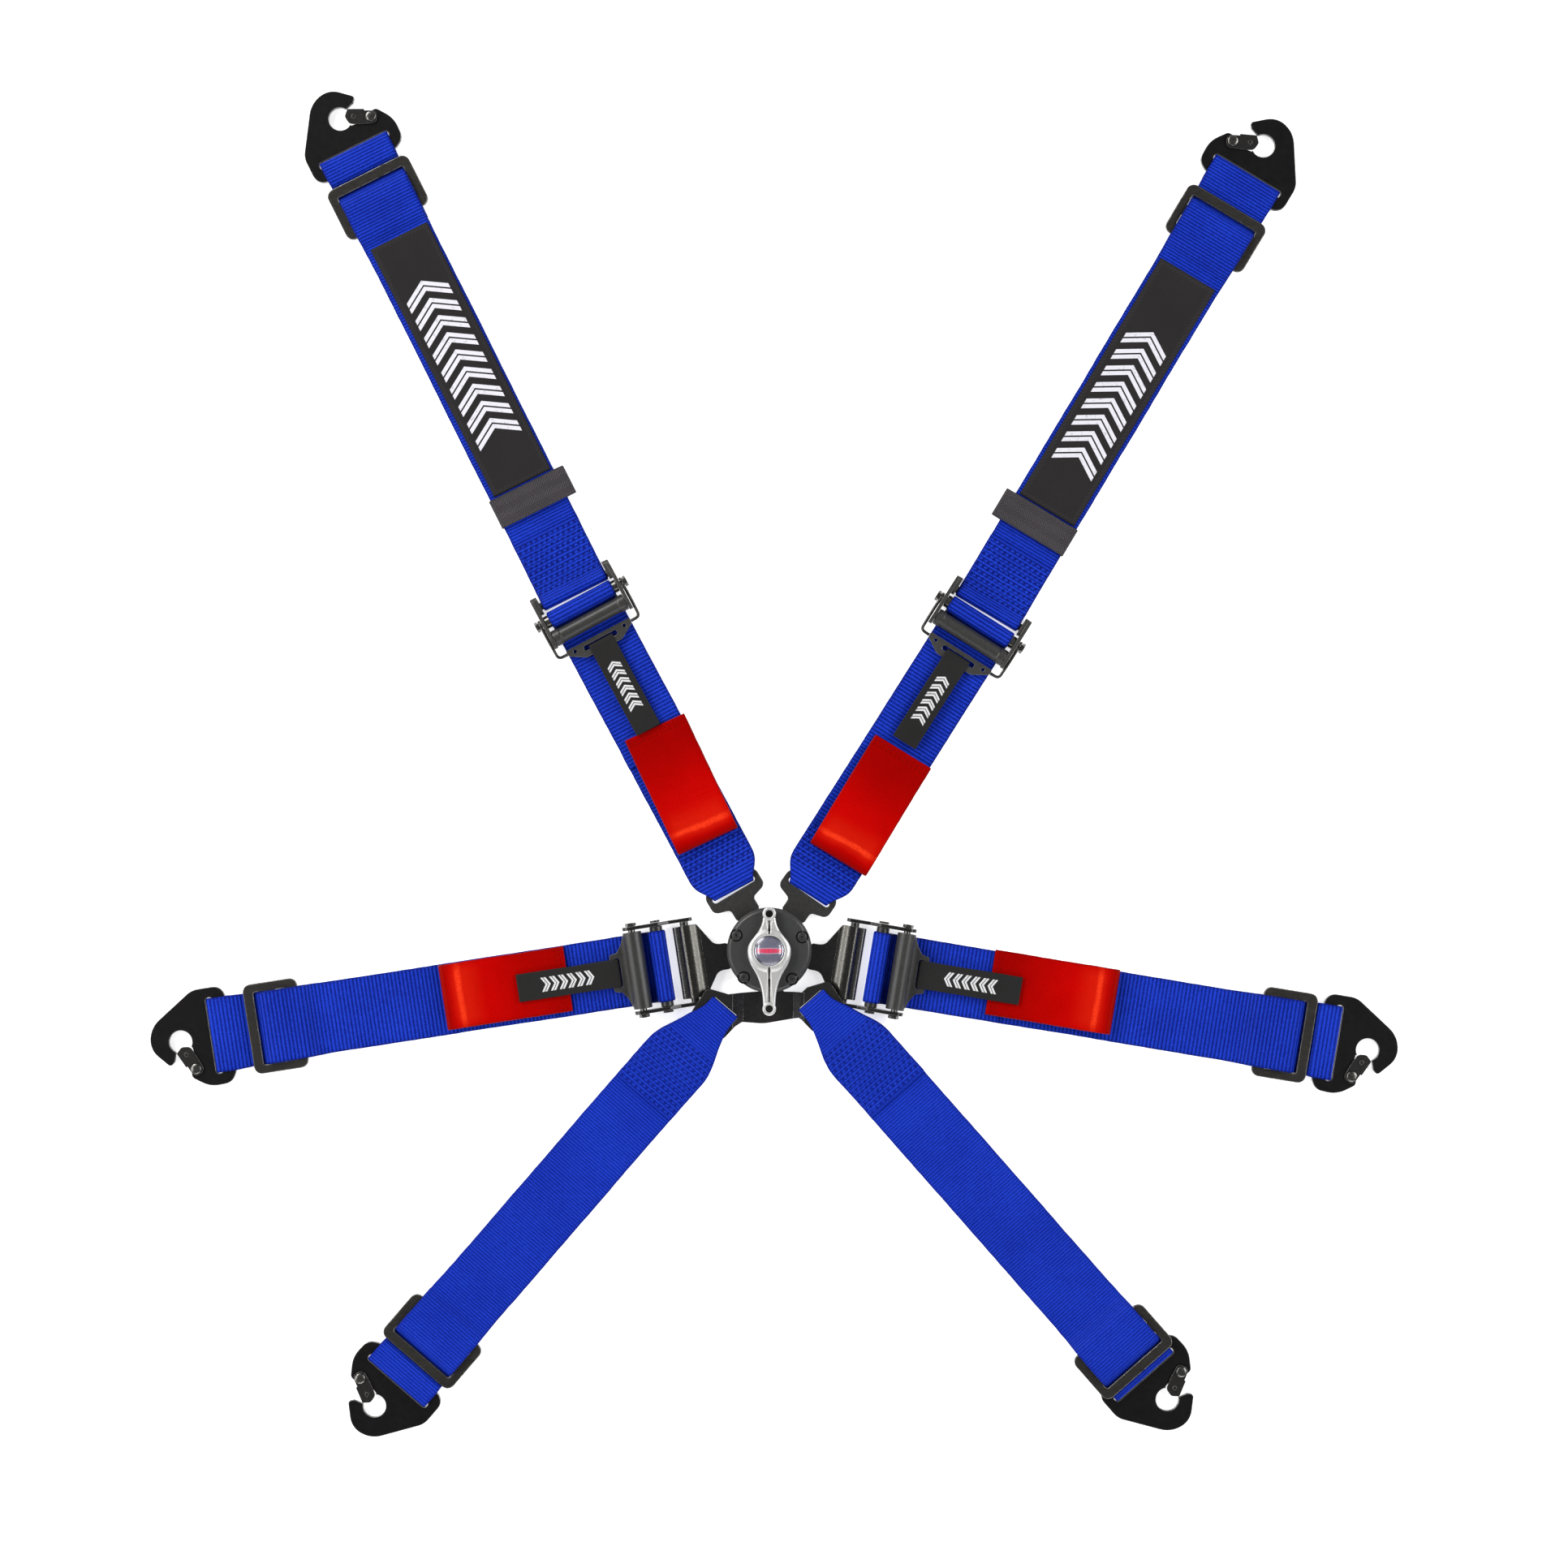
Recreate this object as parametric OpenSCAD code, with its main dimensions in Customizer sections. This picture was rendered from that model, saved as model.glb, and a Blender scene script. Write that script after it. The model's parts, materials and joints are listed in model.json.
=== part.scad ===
// Six-point racing harness with a rotary camlock buckle, laid out flat.
// +Z up, +Y towards the shoulder straps, origin on the buckle axis at the
// level of the table. All sizes in millimetres.

/* [Webbing] */
// Width of the webbing
web_w = 50; // [46:0.5:51]
// Thickness of the webbing
web_t = 1.5; // [1.2:0.05:1.5]
// Width of the pull loops
loop_w = 46; // [40:1:48]
// Length of the pull loops as they lie
loop_len = 90; // [70:1:92]

/* [Buckle] */
// Radius of the buckle cover
buckle_r = 29.7; // [29.5:0.1:31]
// Height of the buckle without its lever
buckle_h = 18; // [17.8:0.1:19]
// Radius of the locking pins
pin_r = 3; // [2.6:0.05:3.1]
// Distance of the locking pins from the buckle axis
pin_circle = 21.5; // [21:0.1:21.6]
// Radius of the lever's hub
lever_hub_r = 15.4; // [15:0.1:16]
// Distance of the upper lever eye from the axis
lever_up = 25.8; // [24:0.1:27]
// Distance of the lower lever eye from the axis
lever_down = 40.6; // [38:0.1:42]

/* [Tongues] */
// Thickness of the tongue plates
tongue_t = 3; // [2.5:0.1:3.1]
// Width of a tongue's neck outside the buckle
neck_w = 18.7; // [17:0.1:19]
// Distance of the shoulder webbing slots from the buckle axis
shoulder_slot = 47; // [46:0.1:48]

/* [Snap hooks] */
// Thickness of the hook plates
hook_t = 3; // [2.5:0.1:3]
// Radius of the eye that closes round the eye bolt
eye_r = 8; // [7.5:0.1:8.2]
// Radius of the gate rivets
rivet_r = 2.5; // [2:0.1:2.6]

/* [Slides] */
// Length of a three-bar slide across the strap
slide_w = 63.5; // [62:0.5:66]
// Length of a three-bar slide along the strap
slide_l = 38.5; // [38:0.5:39]
// Thickness of a three-bar slide
slide_t = 3; // [2.5:0.1:3]

/* [Adjusters] */
// Radius of the bar that the webbing runs over
bar_r = 4.5; // [4.2:0.1:4.5]
// Height of the shoulder adjuster bolts above the table
bolt_z = 7.2; // [7.2:0.1:7.6]
// Radius of the shoulder adjuster rollers
roller_r = 5.4; // [5:0.1:5.4]
// Radius of the lap tilt barrels
barrel_r = 6.6; // [6:0.1:6.6]
// Inside width between an adjuster's side plates
adj_in = 57; // [56:0.5:58]

/* [Shoulder trim] */
// Width of the black shoulder panels
panel_w = 44.5; // [40:0.5:48]
// Length of the keeper bands across the strap
keeper_w = 58.5; // [57:0.5:62]

/* [Hidden] */
$fn = 64;

black = [0.07, 0.07, 0.075];
blue = [0.02, 0.07, 0.75];
red = [0.8, 0.02, 0.02];
steel = [0.72, 0.72, 0.70];

// ---- Lines that the straps follow: start point and outward direction ----
a_tl = 120.8;        // left shoulder tongue
a_tr = 55.3;         // right shoulder tongue
sl0 = shoulder_slot * [cos(a_tl), sin(a_tl)];
sr0 = shoulder_slot * [cos(a_tr), sin(a_tr)];
sl1 = [-132, 242.5]; // left shoulder adjuster bolts
sr1 = [148, 230];    // right shoulder adjuster bolts
sl_len = 359.5;      // adjuster bolts to hook slot, left
sr_len = 368;        // adjuster bolts to hook slot, right
a_sl = 116.6;        // upper left shoulder
a_sr = 59.1;         // upper right shoulder
a_ll = 188.8;        // left lap
a_lr = -9.4;         // right lap
a_cl = 229.1;        // left crotch
a_cr = -48.7;        // right crotch
cl0 = [-40, -48];
cr0 = [41, -46];
a_low_l = atan2(sl1[1] - sl0[1], sl1[0] - sl0[0]);
a_low_r = atan2(sr1[1] - sr0[1], sr1[0] - sr0[0]);
low_l = norm(sl1 - sl0);
low_r = norm(sr1 - sr0);
fold_l = -12;        // where the left crotch webbing turns, along its own line
fold_r = -16;        // the same on the right
lap_bar = 76.5;      // sliding bars from the buckle axis
lap_ax = 93.5;       // tilt axles from the buckle axis
lap_z = 10.5;
// slide centre and hook slot along each line, with the slide's height
sh_l = [319.6, sl_len, 3.5];
sh_r = [322.4, sr_len, 3.5];
lp_l = [351, 397.3, 3.5];
lp_r = [367, 404.8, 3.5];
cr_l = [300.6, 340.1, 3.5];
cr_r = [314.1, 339, 6.9];
hook_z = 1.9;
tongue_z = 3.5;
pin_at = [a_tl, a_tr, a_ll, a_lr, 272];
screw_at = [[-23, 10.5], [23, 9.3], [-17.8, -19], [16, -20]];

// ---- Helpers ----
module at(p, a, z = 0) translate([p[0], p[1], z]) rotate([0, 0, a]) children();
// A flat outline in the plane along a strap (x) and up (y), extruded across it
module side(w, y = 0) translate([0, y + w / 2, 0]) rotate([90, 0, 0])
  linear_extrude(height = w) children();
module slab(z0, h) translate([0, 0, z0]) linear_extrude(height = h) children();
function unit(v) = v / norm(v);
function left(v) = [-v[1], v[0]];
// Offset of one side of a path at point i, mitred
function side_pt(p, i, d) = let (
    a = i == 0 ? p[1] - p[0] : p[i] - p[i - 1],
    b = i == len(p) - 1 ? p[i] - p[i - 1] : p[i + 1] - p[i],
    na = left(unit(a)), nb = left(unit(b)), m = unit(na + nb))
    p[i] + m * d / (m * na);
// A band of even thickness along a path
module band(p, t = web_t) polygon(concat(
    [for (i = [0 : len(p) - 1]) side_pt(p, i, t / 2)],
    [for (i = [len(p) - 1 : -1 : 0]) side_pt(p, i, -t / 2)]));
// Points on an arc, from angle a to angle b
function arc(c, r, a, b, n = 10) =
    [for (i = [0 : n]) c + r * [cos(a + (b - a) * i / n), sin(a + (b - a) * i / n)]];
// A polygon's corners rounded, each with its own radius: [x, y, r]
function corner(p, i, n) = let (
    c = [p[i][0], p[i][1]], q = p[(i + len(p) - 1) % len(p)], s = p[(i + 1) % len(p)],
    u = unit([q[0], q[1]] - c), v = unit([s[0], s[1]] - c),
    h = acos(max(-1, min(1, u * v))) / 2, r = p[i][2], d = r / tan(h),
    o = c + unit(u + v) * r / sin(h), t0 = c + u * d - o, t1 = c + v * d - o,
    g0 = atan2(t0[1], t0[0]), g1 = atan2(t1[1], t1[0]),
    dg = g1 - g0 > 180 ? g1 - g0 - 360 : g1 - g0 < -180 ? g1 - g0 + 360 : g1 - g0)
    r < 0.05 ? [c] : [for (k = [0 : n]) o + r * [cos(g0 + dg * k / n), sin(g0 + dg * k / n)]];
module rounded(p, n = 6) polygon([for (i = [0 : len(p) - 1]) for (q = corner(p, i, n)) q]);
module rbox(l, w, r) rounded([[-l / 2, -w / 2, r], [l / 2, -w / 2, r], [l / 2, w / 2, r], [-l / 2, w / 2, r]]);

// ---- Webbing paths, each in (along, up) ----
lo = web_t / 2 + 0.03;
// End of a strap: over the slide, under its outer bar, round the hook's bar,
// back below, round the slide's middle bar, and its tail under the inner bar
function strap_end(k) = let (s = k[0], h = k[1], z = k[2]) concat(
    [[s - 42, 1.3], [s - 29.4, 1.5], [s - 21.8, z + 4], [s - 13, z + 4.1], [s - 6, z + 5.7],
     [s + 3.4, z + 5.7], [s + 7.4, z + 4.6], [s + 9.7, z + 1.4], [s + 10.5, z - 0.2], [s + 11.9, z - 1.02]],
    h - s > 34 ? [[s + 19.9, z - 1.02], [h - 16.2, 5.8]] : [[s + 13.4, z - 1.02]],
    [[h - 5, 5.8], [h - 2.9, 5.4], [h - 2.2, 4.3], [h - 2.2, 2.6], [h - 3, 1.4], [h - 5, 0.98]],
    h - s > 34 ? [[h - 15, 0.9], [s + 20.4, lo]] : [],
    [[s + 10.2, lo], [s + 5.4, 1.6], [s + 4.2, 3.2], [s + 4.2, z + 3.2], [s + 3.4, z + 4],
     [s - 3.4, z + 4], [s - 4.2, z + 3.2], [s - 4.3, 3.6], [s - 5.5, 1.7], [s - 9, 0.85], [s - 27, 0.85]]);
// Fold of a strap round a bar of half length b, at height zc, from its hem
// at x1 on top, round to the layer beneath
function fold(x, zc, r, x1, z1) = concat([[x1, z1], [x + r + 7, z1]],
    arc([x, zc], r, 60, 300, 14), [[x + r + 6, lo]]);
// Round an adjuster's bar and back under its roller; m turns it about
function over_bar(x, m, tail) = concat(
    arc([x, bolt_z], bar_r + 0.95, m > 0 ? -80 : -100, m > 0 ? 185 : -365, 16),
    [[x - m * 6.2, 4.4], [x - m * 8.8, 2.75], [x - m * 12, 2.5], [tail, 2.5]]);

// ---- Buckle ----
module neck_plan(c = 0) rounded([[pin_circle - 6.4 - c, -6.4 - c, 6], [24.5, -6.4 - c, 1],
    [30, -neck_w / 2 - c, 1.5], [36, -neck_w / 2 - c, 0], [36, neck_w / 2 + c, 0],
    [30, neck_w / 2 + c, 1.5], [24.5, 6.4 + c, 1], [pin_circle - 6.4 - c, 6.4 + c, 6]]);
module buckle_base() color(black) difference() {
  rotate_extrude($fn = 96) polygon([[0, 0], [27.5, 0], [28.6, 1.1], [28.6, 7], [0, 7]]);
  for (a = pin_at) rotate([0, 0, a]) {
    slab(3.4, 4) neck_plan(0.4);
    translate([pin_circle, 0, 2.8]) cylinder(r = pin_r + 0.1, h = 3);
  }
  for (p = screw_at) translate([p[0], p[1], 1.5]) cylinder(r = 1.75, h = 8);
}
module buckle_guide_plate() color(black) difference() {
  slab(7, 1.5) circle(r = 26);
  for (a = pin_at) rotate([0, 0, a]) translate([pin_circle, 0, 6]) cylinder(r = pin_r + 0.06, h = 4);
  for (p = screw_at) translate([p[0], p[1], 6]) cylinder(r = 3.7, h = 4);
}
module buckle_cover() color(black) difference() {
  union() {
    difference() {
      rotate_extrude($fn = 96) polygon([[0, 7], [buckle_r - 0.4, 7], [buckle_r, 7.4],
        [buckle_r, buckle_h - 2.2], [buckle_r - 1.9, buckle_h - 0.5], [buckle_r - 3.2, buckle_h], [0, buckle_h]]);
      translate([0, 0, 6]) cylinder(r = 26.1, h = buckle_h - 8.5, $fn = 96);
    }
    for (p = screw_at) translate([p[0], p[1], 7]) cylinder(r = 3.6, h = buckle_h - 9);
  }
  translate([0, 0, 10]) cylinder(r = 5.06, h = 20);
  for (p = screw_at) translate([p[0], p[1], 6]) {
    cylinder(r = 1.8, h = 20);
    translate([0, 0, buckle_h - 6.7]) cylinder(r = 3.6, h = 4);
  }
}
module cover_screws() color(black) for (p = screw_at) translate([p[0], p[1], 0]) difference() {
  union() {
    translate([0, 0, 1.5]) cylinder(r = 1.75, h = buckle_h - 2.2);
    translate([0, 0, buckle_h - 0.7]) rotate_extrude() polygon([[0, 0], [3.45, 0], [3.45, 0.5],
      [3, 1.1], [2.2, 1.4], [0, 1.5]]);
  }
  translate([0, 0, buckle_h - 0.2]) cylinder(r = 1.2, h = 3, $fn = 6);
}
module lock_pins() color(steel) for (a = pin_at) rotate([0, 0, a]) translate([pin_circle, 0, 0]) {
  translate([0, 0, 3]) cylinder(r = pin_r, h = 8.4);
  translate([0, 0, 9]) cylinder(r = 4.2, h = 1.2);
}
// Compression springs over the pins, drawn as the sleeve that each coil fills
module pin_springs() color(steel) for (a = pin_at) rotate([0, 0, a]) translate([pin_circle, 0, 0])
  difference() {
    translate([0, 0, 10.25]) cylinder(r = 4, h = buckle_h - 2.5 - 10.3);
    translate([0, 0, 9]) cylinder(r = pin_r + 0.15, h = 10);
  }
module cam_spindle() color(steel) {
  difference() {
    slab(8.7, 6.5) union() {
      circle(r = 13);
      for (a = pin_at) rotate([0, 0, a - 12]) translate([13, 0]) circle(r = 3.6);
    }
    translate([0, 0, 8]) cylinder(r = 9, h = 2.5);
  }
  translate([0, 0, 15]) cylinder(r = 5, h = buckle_h - 12.6);
}
lever_half = [[-36.5, 4.35], [-33.6, 4.5], [-30, 4.9], [-25.6, 5.7], [-21, 7.1], [-17.6, 8.5],
  [-14.5, 10.2], [-11.8, 11.9], [-9.6, 13.1], [-7, 14.2], [-4, 15], [0, 15.4], [3, 15],
  [6, 13.3], [9, 11], [12, 8.6], [15, 6.6], [18, 5.3], [21, 4.6], [23, 4.35]];
module lever_plan() union() {
  polygon(concat([for (q = lever_half) [q[1] * lever_hub_r / 15.4, q[0]]],
    [for (i = [len(lever_half) - 1 : -1 : 0]) [-lever_half[i][1] * lever_hub_r / 15.4, lever_half[i][0]]]));
  translate([0, lever_up]) circle(r = 4.8);
  translate([0, -lever_down]) circle(r = 4.8);
}
module release_lever() color(steel) difference() {
  union() {
    slab(buckle_h + 1.2, 4.6) lever_plan();
    intersection() {
      slab(buckle_h + 0.3, 8) lever_plan();
      translate([0, 0, buckle_h]) rotate_extrude($fn = 96) polygon([[0, 0.3], [17, 0.3],
        [17, 4.5], [14.2, 6.6], [12, 7.4], [0, 7.4]]);
    }
  }
  translate([0, 0, buckle_h - 1]) cylinder(r = 5.04, h = 3.6);
  translate([0, 0, buckle_h + 6.2]) cylinder(r = 10.2, h = 4);
  translate([0, lever_up, buckle_h]) cylinder(r = 2.6, h = 12);
  translate([0, -lever_down, buckle_h]) cylinder(r = 2.6, h = 12);
  slab(buckle_h + 5, 4) union() {
    translate([0, 16]) square([1.4, 11], center = true);
    translate([0, -23.5]) square([1.4, 26], center = true);
  }
}
module lever_badge() color([0.35, 0.37, 0.5]) translate([0, 0, buckle_h + 6.2])
  rotate_extrude() polygon(concat([[0, 0], [10, 0], [10, 1]], arc([0, -16.6], 20.4, 60.5, 90, 8)));

// ---- Tongues and crotch plate ----
module tongue_shoulder(a) color(black) rotate([0, 0, a]) slab(tongue_z, tongue_t) difference() {
  union() {
    difference() { neck_plan(); translate([34, -30]) square([10, 60]); }
    rounded([[33.9, -neck_w / 2, 0], [37.5, -neck_w / 2, 3], [41, -20.8, 5], [57.5, -20.8, 7],
      [57.5, 20.8, 7], [41, 20.8, 5], [37.5, neck_w / 2, 3], [33.9, neck_w / 2, 0]]);
  }
  translate([pin_circle, 0]) circle(r = pin_r + 0.3);
  translate([shoulder_slot + 2, 0]) rbox(4.3, 33.8, 2.1);
}
module tongue_lap(a) color(black) rotate([0, 0, a]) {
  difference() {
    slab(tongue_z, tongue_t) difference() {
      union() {
        difference() { neck_plan(); translate([34, -30]) square([10, 60]); }
        rounded([[33.9, -9.35, 0], [38, -10, 6], [48, -25.6, 2], [58, -25.6, 0], [58, 25.6, 0],
          [48, 25.6, 2], [38, 10, 6], [33.9, 9.35, 0]]);
      }
      translate([pin_circle, 0]) circle(r = pin_r + 0.3);
    }
    // the rolled crossbar takes this place
    side(60) polygon([[52, 0], [70, 0], [70, 12], [52, 12]]);
  }
  // rolled crossbar
  side(2 * 25.6) difference() {
    union() { translate([56.6, 5.3]) circle(r = 3.9); polygon([[52, 3.5], [56, 3.5], [56, 6.5], [52, 6.5]]); }
    translate([56.6, 5.3]) circle(r = 1.6);
  }
  // side plates, pierced for the sliding bar and the axle
  for (m = [-1, 1]) side(2.5, m * (adj_in / 2 + 1.25)) difference() {
    rounded([[50.5, 1.6, 1], [lap_ax + 6.5, 3.8, 3], [lap_ax + 6.5, 14, 5], [lap_ax - 5, 14.6, 5],
      [lap_bar - 2, 11.8, 4], [67, 7.6, 4], [50.5, 7.6, 3]]);
    translate([lap_bar, bolt_z]) circle(r = 2.6);
    translate([lap_ax, lap_z]) circle(r = 2.5);
  }
  for (m = [-1, 1]) side(adj_in / 2 - 25.6, m * (adj_in / 4 + 12.8)) translate([56.6, 5.3]) circle(r = 3);
}
// The loops that hold the crotch straps, each in its strap's own frame;
// fold is where the webbing turns in the loop, m is -1 on the right
module loop_plan(fold, m) translate([fold, 0]) mirror([0, m < 0 ? 1 : 0])
  rounded([[-8.5, -2, 3], [-1.8, -16.6, 4], [19.6, -14, 4], [19.6, 15.2, 3.5], [6, 15.8, 1], [-7, 20, 0]]);
module loop_gap(fold, m) translate([fold + 6.2, m * 1.5]) rbox(14, 23, 2.5);
module crotch_plan() difference() {
  union() {
    difference() { rotate([0, 0, 272]) neck_plan(); translate([-30, -44]) square([60, 14]); }
    rounded([[-8.5, -29.5, 0], [-29.5, -31, 5], [-35, -38, 0], [-25.5, -50.3, 2], [-4, -52, 30],
      [21.5, -47.6, 2], [34, -36, 0], [22.5, -29.8, 5], [9.5, -29.5, 0]]);
    translate(cl0) rotate([0, 0, a_cl]) loop_plan(fold_l, 1);
    translate(cr0) rotate([0, 0, a_cr]) loop_plan(fold_r, -1);
  }
  rotate([0, 0, 272]) translate([pin_circle, 0]) circle(r = pin_r + 0.3);
  translate(cl0) rotate([0, 0, a_cl]) loop_gap(fold_l, 1);
  translate(cr0) rotate([0, 0, a_cr]) loop_gap(fold_r, -1);
}
module crotch_plate() color(black) intersection() {
  slab(0, 30) crotch_plan();
  translate([0, -40, 0]) side(90) polygon([[-19.5, 3.5], [18, 3.5], [25.3, 9.8], [70, 9.8], [70, 12.8],
    [24.2, 12.8], [16.9, 6.5], [-18.4, 6.5], [-25.7, 12.8], [-70, 12.8], [-70, 9.8], [-26.8, 9.8]]);
}

// ---- Straps ----
// Plan of a strap that is pinched at its start, x0 to x1
module pinch(x0, x1, w0, l) polygon([[x0, -w0 / 2], [x0 + l * 0.25, -w0 / 2 - (web_w - w0) * 0.1],
  [x0 + l, -web_w / 2], [x1, -web_w / 2], [x1, web_w / 2], [x0 + l, web_w / 2],
  [x0 + l * 0.25, w0 / 2 + (web_w - w0) * 0.1], [x0, w0 / 2]]);
module strap_shoulder_lower(p, a, l) color(blue) at(p, a) intersection() {
  side(web_w) band(concat([[46, 2.45], [27, 2.55], [13.4, 7.9]],
    arc([5.4, 5], 3.5, 80, 285, 12), [[14, lo + 0.15], [20, lo], [l - 8, lo], [l - 4, lo + 0.2]],
    over_bar(l, 1, l - 118)));
  slab(-1, 30) pinch(0, l + 20, 30, 26);
}
module strap_shoulder_upper(p, a, k) color(blue) at(p, a) side(web_w)
  band(concat(fold(11.4, 5, 3.45, 57, 2.4), [[58, lo], [63.5, 1.5], [k[0] - 52, 1.5]], strap_end(k)));
module strap_lap(a, k, tail) color(blue) rotate([0, 0, a]) side(web_w)
  band(concat([[tail, 2.5], [lap_bar + 12, 2.5], [lap_bar + 8.8, 2.75], [lap_bar + 6.2, 4.4]],
    arc([lap_bar, bolt_z], bar_r + 0.95, -5, 260, 16), [[lap_bar + 5, lo], [lap_bar + 12, lo]], strap_end(k)));
module strap_crotch(p, a, k, f, m) color(blue) at(p, a) intersection() {
  side(web_w) band(concat([[74, 2.45], [62, 2.5], [f + 32, 13], [f + 19, 13.85]],
    arc([f + 3.4, 11.3], 2.55, 90, 270, 8), [[f + 31, 8.75], [52, lo + 0.1], [58, lo]], strap_end(k)));
  slab(-1, 30) mirror([0, m < 0 ? 1 : 0]) polygon([[f, -9.5], [f + 9, -9.5], [f + 19, -14.5], [f + 30, -18],
    [f + 46, -web_w / 2], [400, -web_w / 2], [400, web_w / 2], [f + 44, web_w / 2], [f + 26, 17.5],
    [f + 14, 13.5], [f + 9, 12.5], [f, 12.5]]);
}
module pull_loop(x0, y, z, turn = 0) translate([x0 + loop_len / 2, y, z]) rotate([0, 0, turn])
  side(loop_w) band(concat([[-loop_len / 2, 0.6], [loop_len / 2 - 8, 0.6]],
    arc([loop_len / 2 - 3.6, 2.6], 2.1, -80, 90, 8), [[loop_len / 2 - 26, 4.2], [-loop_len / 2 + 41, 1.8], [-loop_len / 2, 1.75]]), 1.1);

// ---- Shoulder trim ----
module panel(p, a, x0, x1, y) color([0.12, 0.12, 0.12]) at(p, a)
  translate([(x0 + x1) / 2, y, web_t + 0.8]) linear_extrude(height = 1) rbox(x1 - x0, panel_w, 1);
module keeper(p, a, x, y, turn) color([0.16, 0.15, 0.15]) at(p, a) translate([x, y, 0]) rotate([0, 0, turn])
  rotate([90, 0, 90]) translate([0, 0, -10.6]) linear_extrude(height = 21.2) difference() {
    rounded([[-keeper_w / 2, 0, 1.2], [keeper_w / 2, 0, 1.2], [keeper_w / 2, 4.8, 1.6], [-keeper_w / 2, 4.8, 1.6]], 4);
    translate([-keeper_w / 2 + 0.7, 0.6]) square([keeper_w - 1.4, 3.5]);
  }

// ---- Shoulder adjusters: bolt axis at the local origin ----
module adjuster_frame(p, a, b) color(black) at(p, a) {
  for (m = [-1, 1]) side(2.5, m * (adj_in / 2 + 1.25)) difference() {
    rounded([[-19.5, 3.8, 3], [19.5, 1, 2], [19.5, 10.5, 4], [4, 13, 6], [-14, 16, 5], [-19.5, 14.5, 4]]);
    translate([0, bolt_z]) circle(r = 2.5);
    translate([-12.8, 9.3]) circle(r = 2.5);
  }
  // cheek blocks beside the webbing
  for (m = [-1, 1]) side(adj_in / 2 - 25.9, m * (adj_in / 4 + 13.2)) rounded([[6.3, 1, 1], [19.5, 1, 1], [19.5, 10, 3], [6.3, 11.6, 3]]);
  // bar square to the upper strap
  rotate([0, 0, b - a]) side(adj_in + 1) translate([11.4, 5]) circle(r = 2.6);
}
module adjuster_bolts() color(steel) for (q = [[sl1, a_low_l], [sr1, a_low_r]]) at(q[0], q[1])
  translate([0, 0, bolt_z]) rotate([90, 0, 0]) {
    translate([0, 0, -36]) cylinder(r = 2.5, h = 72);
    for (m = [-1, 1]) translate([0, 0, m * 34.9]) cylinder(r = 3.9, h = 2.2, center = true, $fn = 6);
    difference() {
      cylinder(r = bar_r, h = adj_in - 0.4, center = true);
      cylinder(r = 2.4, h = 80, center = true);
    }
  }
module adjuster_rollers() color(black) for (q = [[sl1, a_low_l], [sr1, a_low_r]]) at(q[0], q[1])
  translate([-12.8, 0, 9.3]) rotate([90, 0, 0]) {
    cylinder(r = roller_r, h = 46, center = true);
    for (m = [-1, 1]) translate([0, 0, m * 25.6]) cylinder(r = 5.9, h = 5.4, center = true);
    cylinder(r = 2.5, h = adj_in + 5, center = true);
  }
// Bail and tilt plate turn about the bolts
module bail(p, a) color([0.25, 0.25, 0.25]) at(p, a) for (m = [-1, 1]) {
  side(2.2, m * 32.4) difference() {
    union() {
      translate([0, bolt_z]) circle(r = 4);
      polygon([[0, bolt_z - 1.2], [0, bolt_z + 1.2], [-26.8, 6.8], [-26.8, 4.6]]);
    }
    translate([0, bolt_z]) circle(r = 2.56);
  }
  side(7.1, m * 28.85) translate([-26.4, 5.7]) circle(r = 1.1);
}
module tilt_plate(p, a) color([0.3, 0.3, 0.3]) at(p, a) slab(5, 1.4) difference() {
  rounded([[-24, -25.3, 1], [-24, 25.3, 1], [-28, 25.3, 2], [-34.8, 14, 3], [-34.8, -14, 3], [-28, -25.3, 2]]);
  translate([-28.6, 0]) rbox(3.6, 26, 1.5);
  for (m = [-1, 1]) translate([-27.2, m * 19.5]) circle(r = 1.3);
}
// Tabs folded round the outer bar of the tilt plates
module tab_shoulder(p, a) color(black) at(p, a) side(18.6) band(concat([[-100, 7.4], [-36, 6.95]],
  arc([-29.2, 5.7], 1.2, 90, -90, 8), [[-36, 4.5], [-46, 5.2], [-90, 6.1], [-100, 6.5]]), 0.8);

// ---- Lap adjusters ----
module lap_axles() color(steel) for (a = [a_ll, a_lr]) rotate([0, 0, a]) translate([lap_ax, 0, lap_z]) rotate([90, 0, 0]) {
  cylinder(r = 2.5, h = 66, center = true);
  for (m = [-1, 1]) translate([0, 0, m * 32.4]) cylinder(r = 3.9, h = 2.2, center = true, $fn = 6);
}
module lap_slide_bars() color(black) for (a = [a_ll, a_lr]) rotate([0, 0, a]) translate([lap_bar, 0, bolt_z]) rotate([90, 0, 0]) {
  cylinder(r = bar_r, h = adj_in - 0.4, center = true);
  cylinder(r = 2.5, h = adj_in + 5, center = true);
  for (m = [-1, 1]) translate([0, 0, m * 32]) cylinder(r = 3.6, h = 1.4, center = true);
}
module lap_tilt(a) color([0.17, 0.17, 0.17]) rotate([0, 0, a]) {
  side(54) difference() {
    translate([lap_ax, lap_z]) circle(r = barrel_r);
    translate([lap_ax, lap_z]) circle(r = 2.56);
  }
  intersection() {
    side(56) band([[lap_ax + 4.2, lap_z - 3], [lap_ax + 9, 6.2], [lap_ax + 22, 6]], 1.5);
    slab(0, 20) difference() {
      rounded([[lap_ax, -26.5, 0], [lap_ax + 6.5, -26.5, 1], [lap_ax + 9.5, -19, 2], [lap_ax + 13, -14, 2], [lap_ax + 18.6, -13, 2],
        [lap_ax + 18.6, 13, 2], [lap_ax + 13, 14, 2], [lap_ax + 9.5, 19, 2], [lap_ax + 6.5, 26.5, 1], [lap_ax, 26.5, 0]]);
      translate([lap_ax + 13.4, 0]) rbox(3.4, 20.6, 1.5);
    }
  }
}
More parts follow.
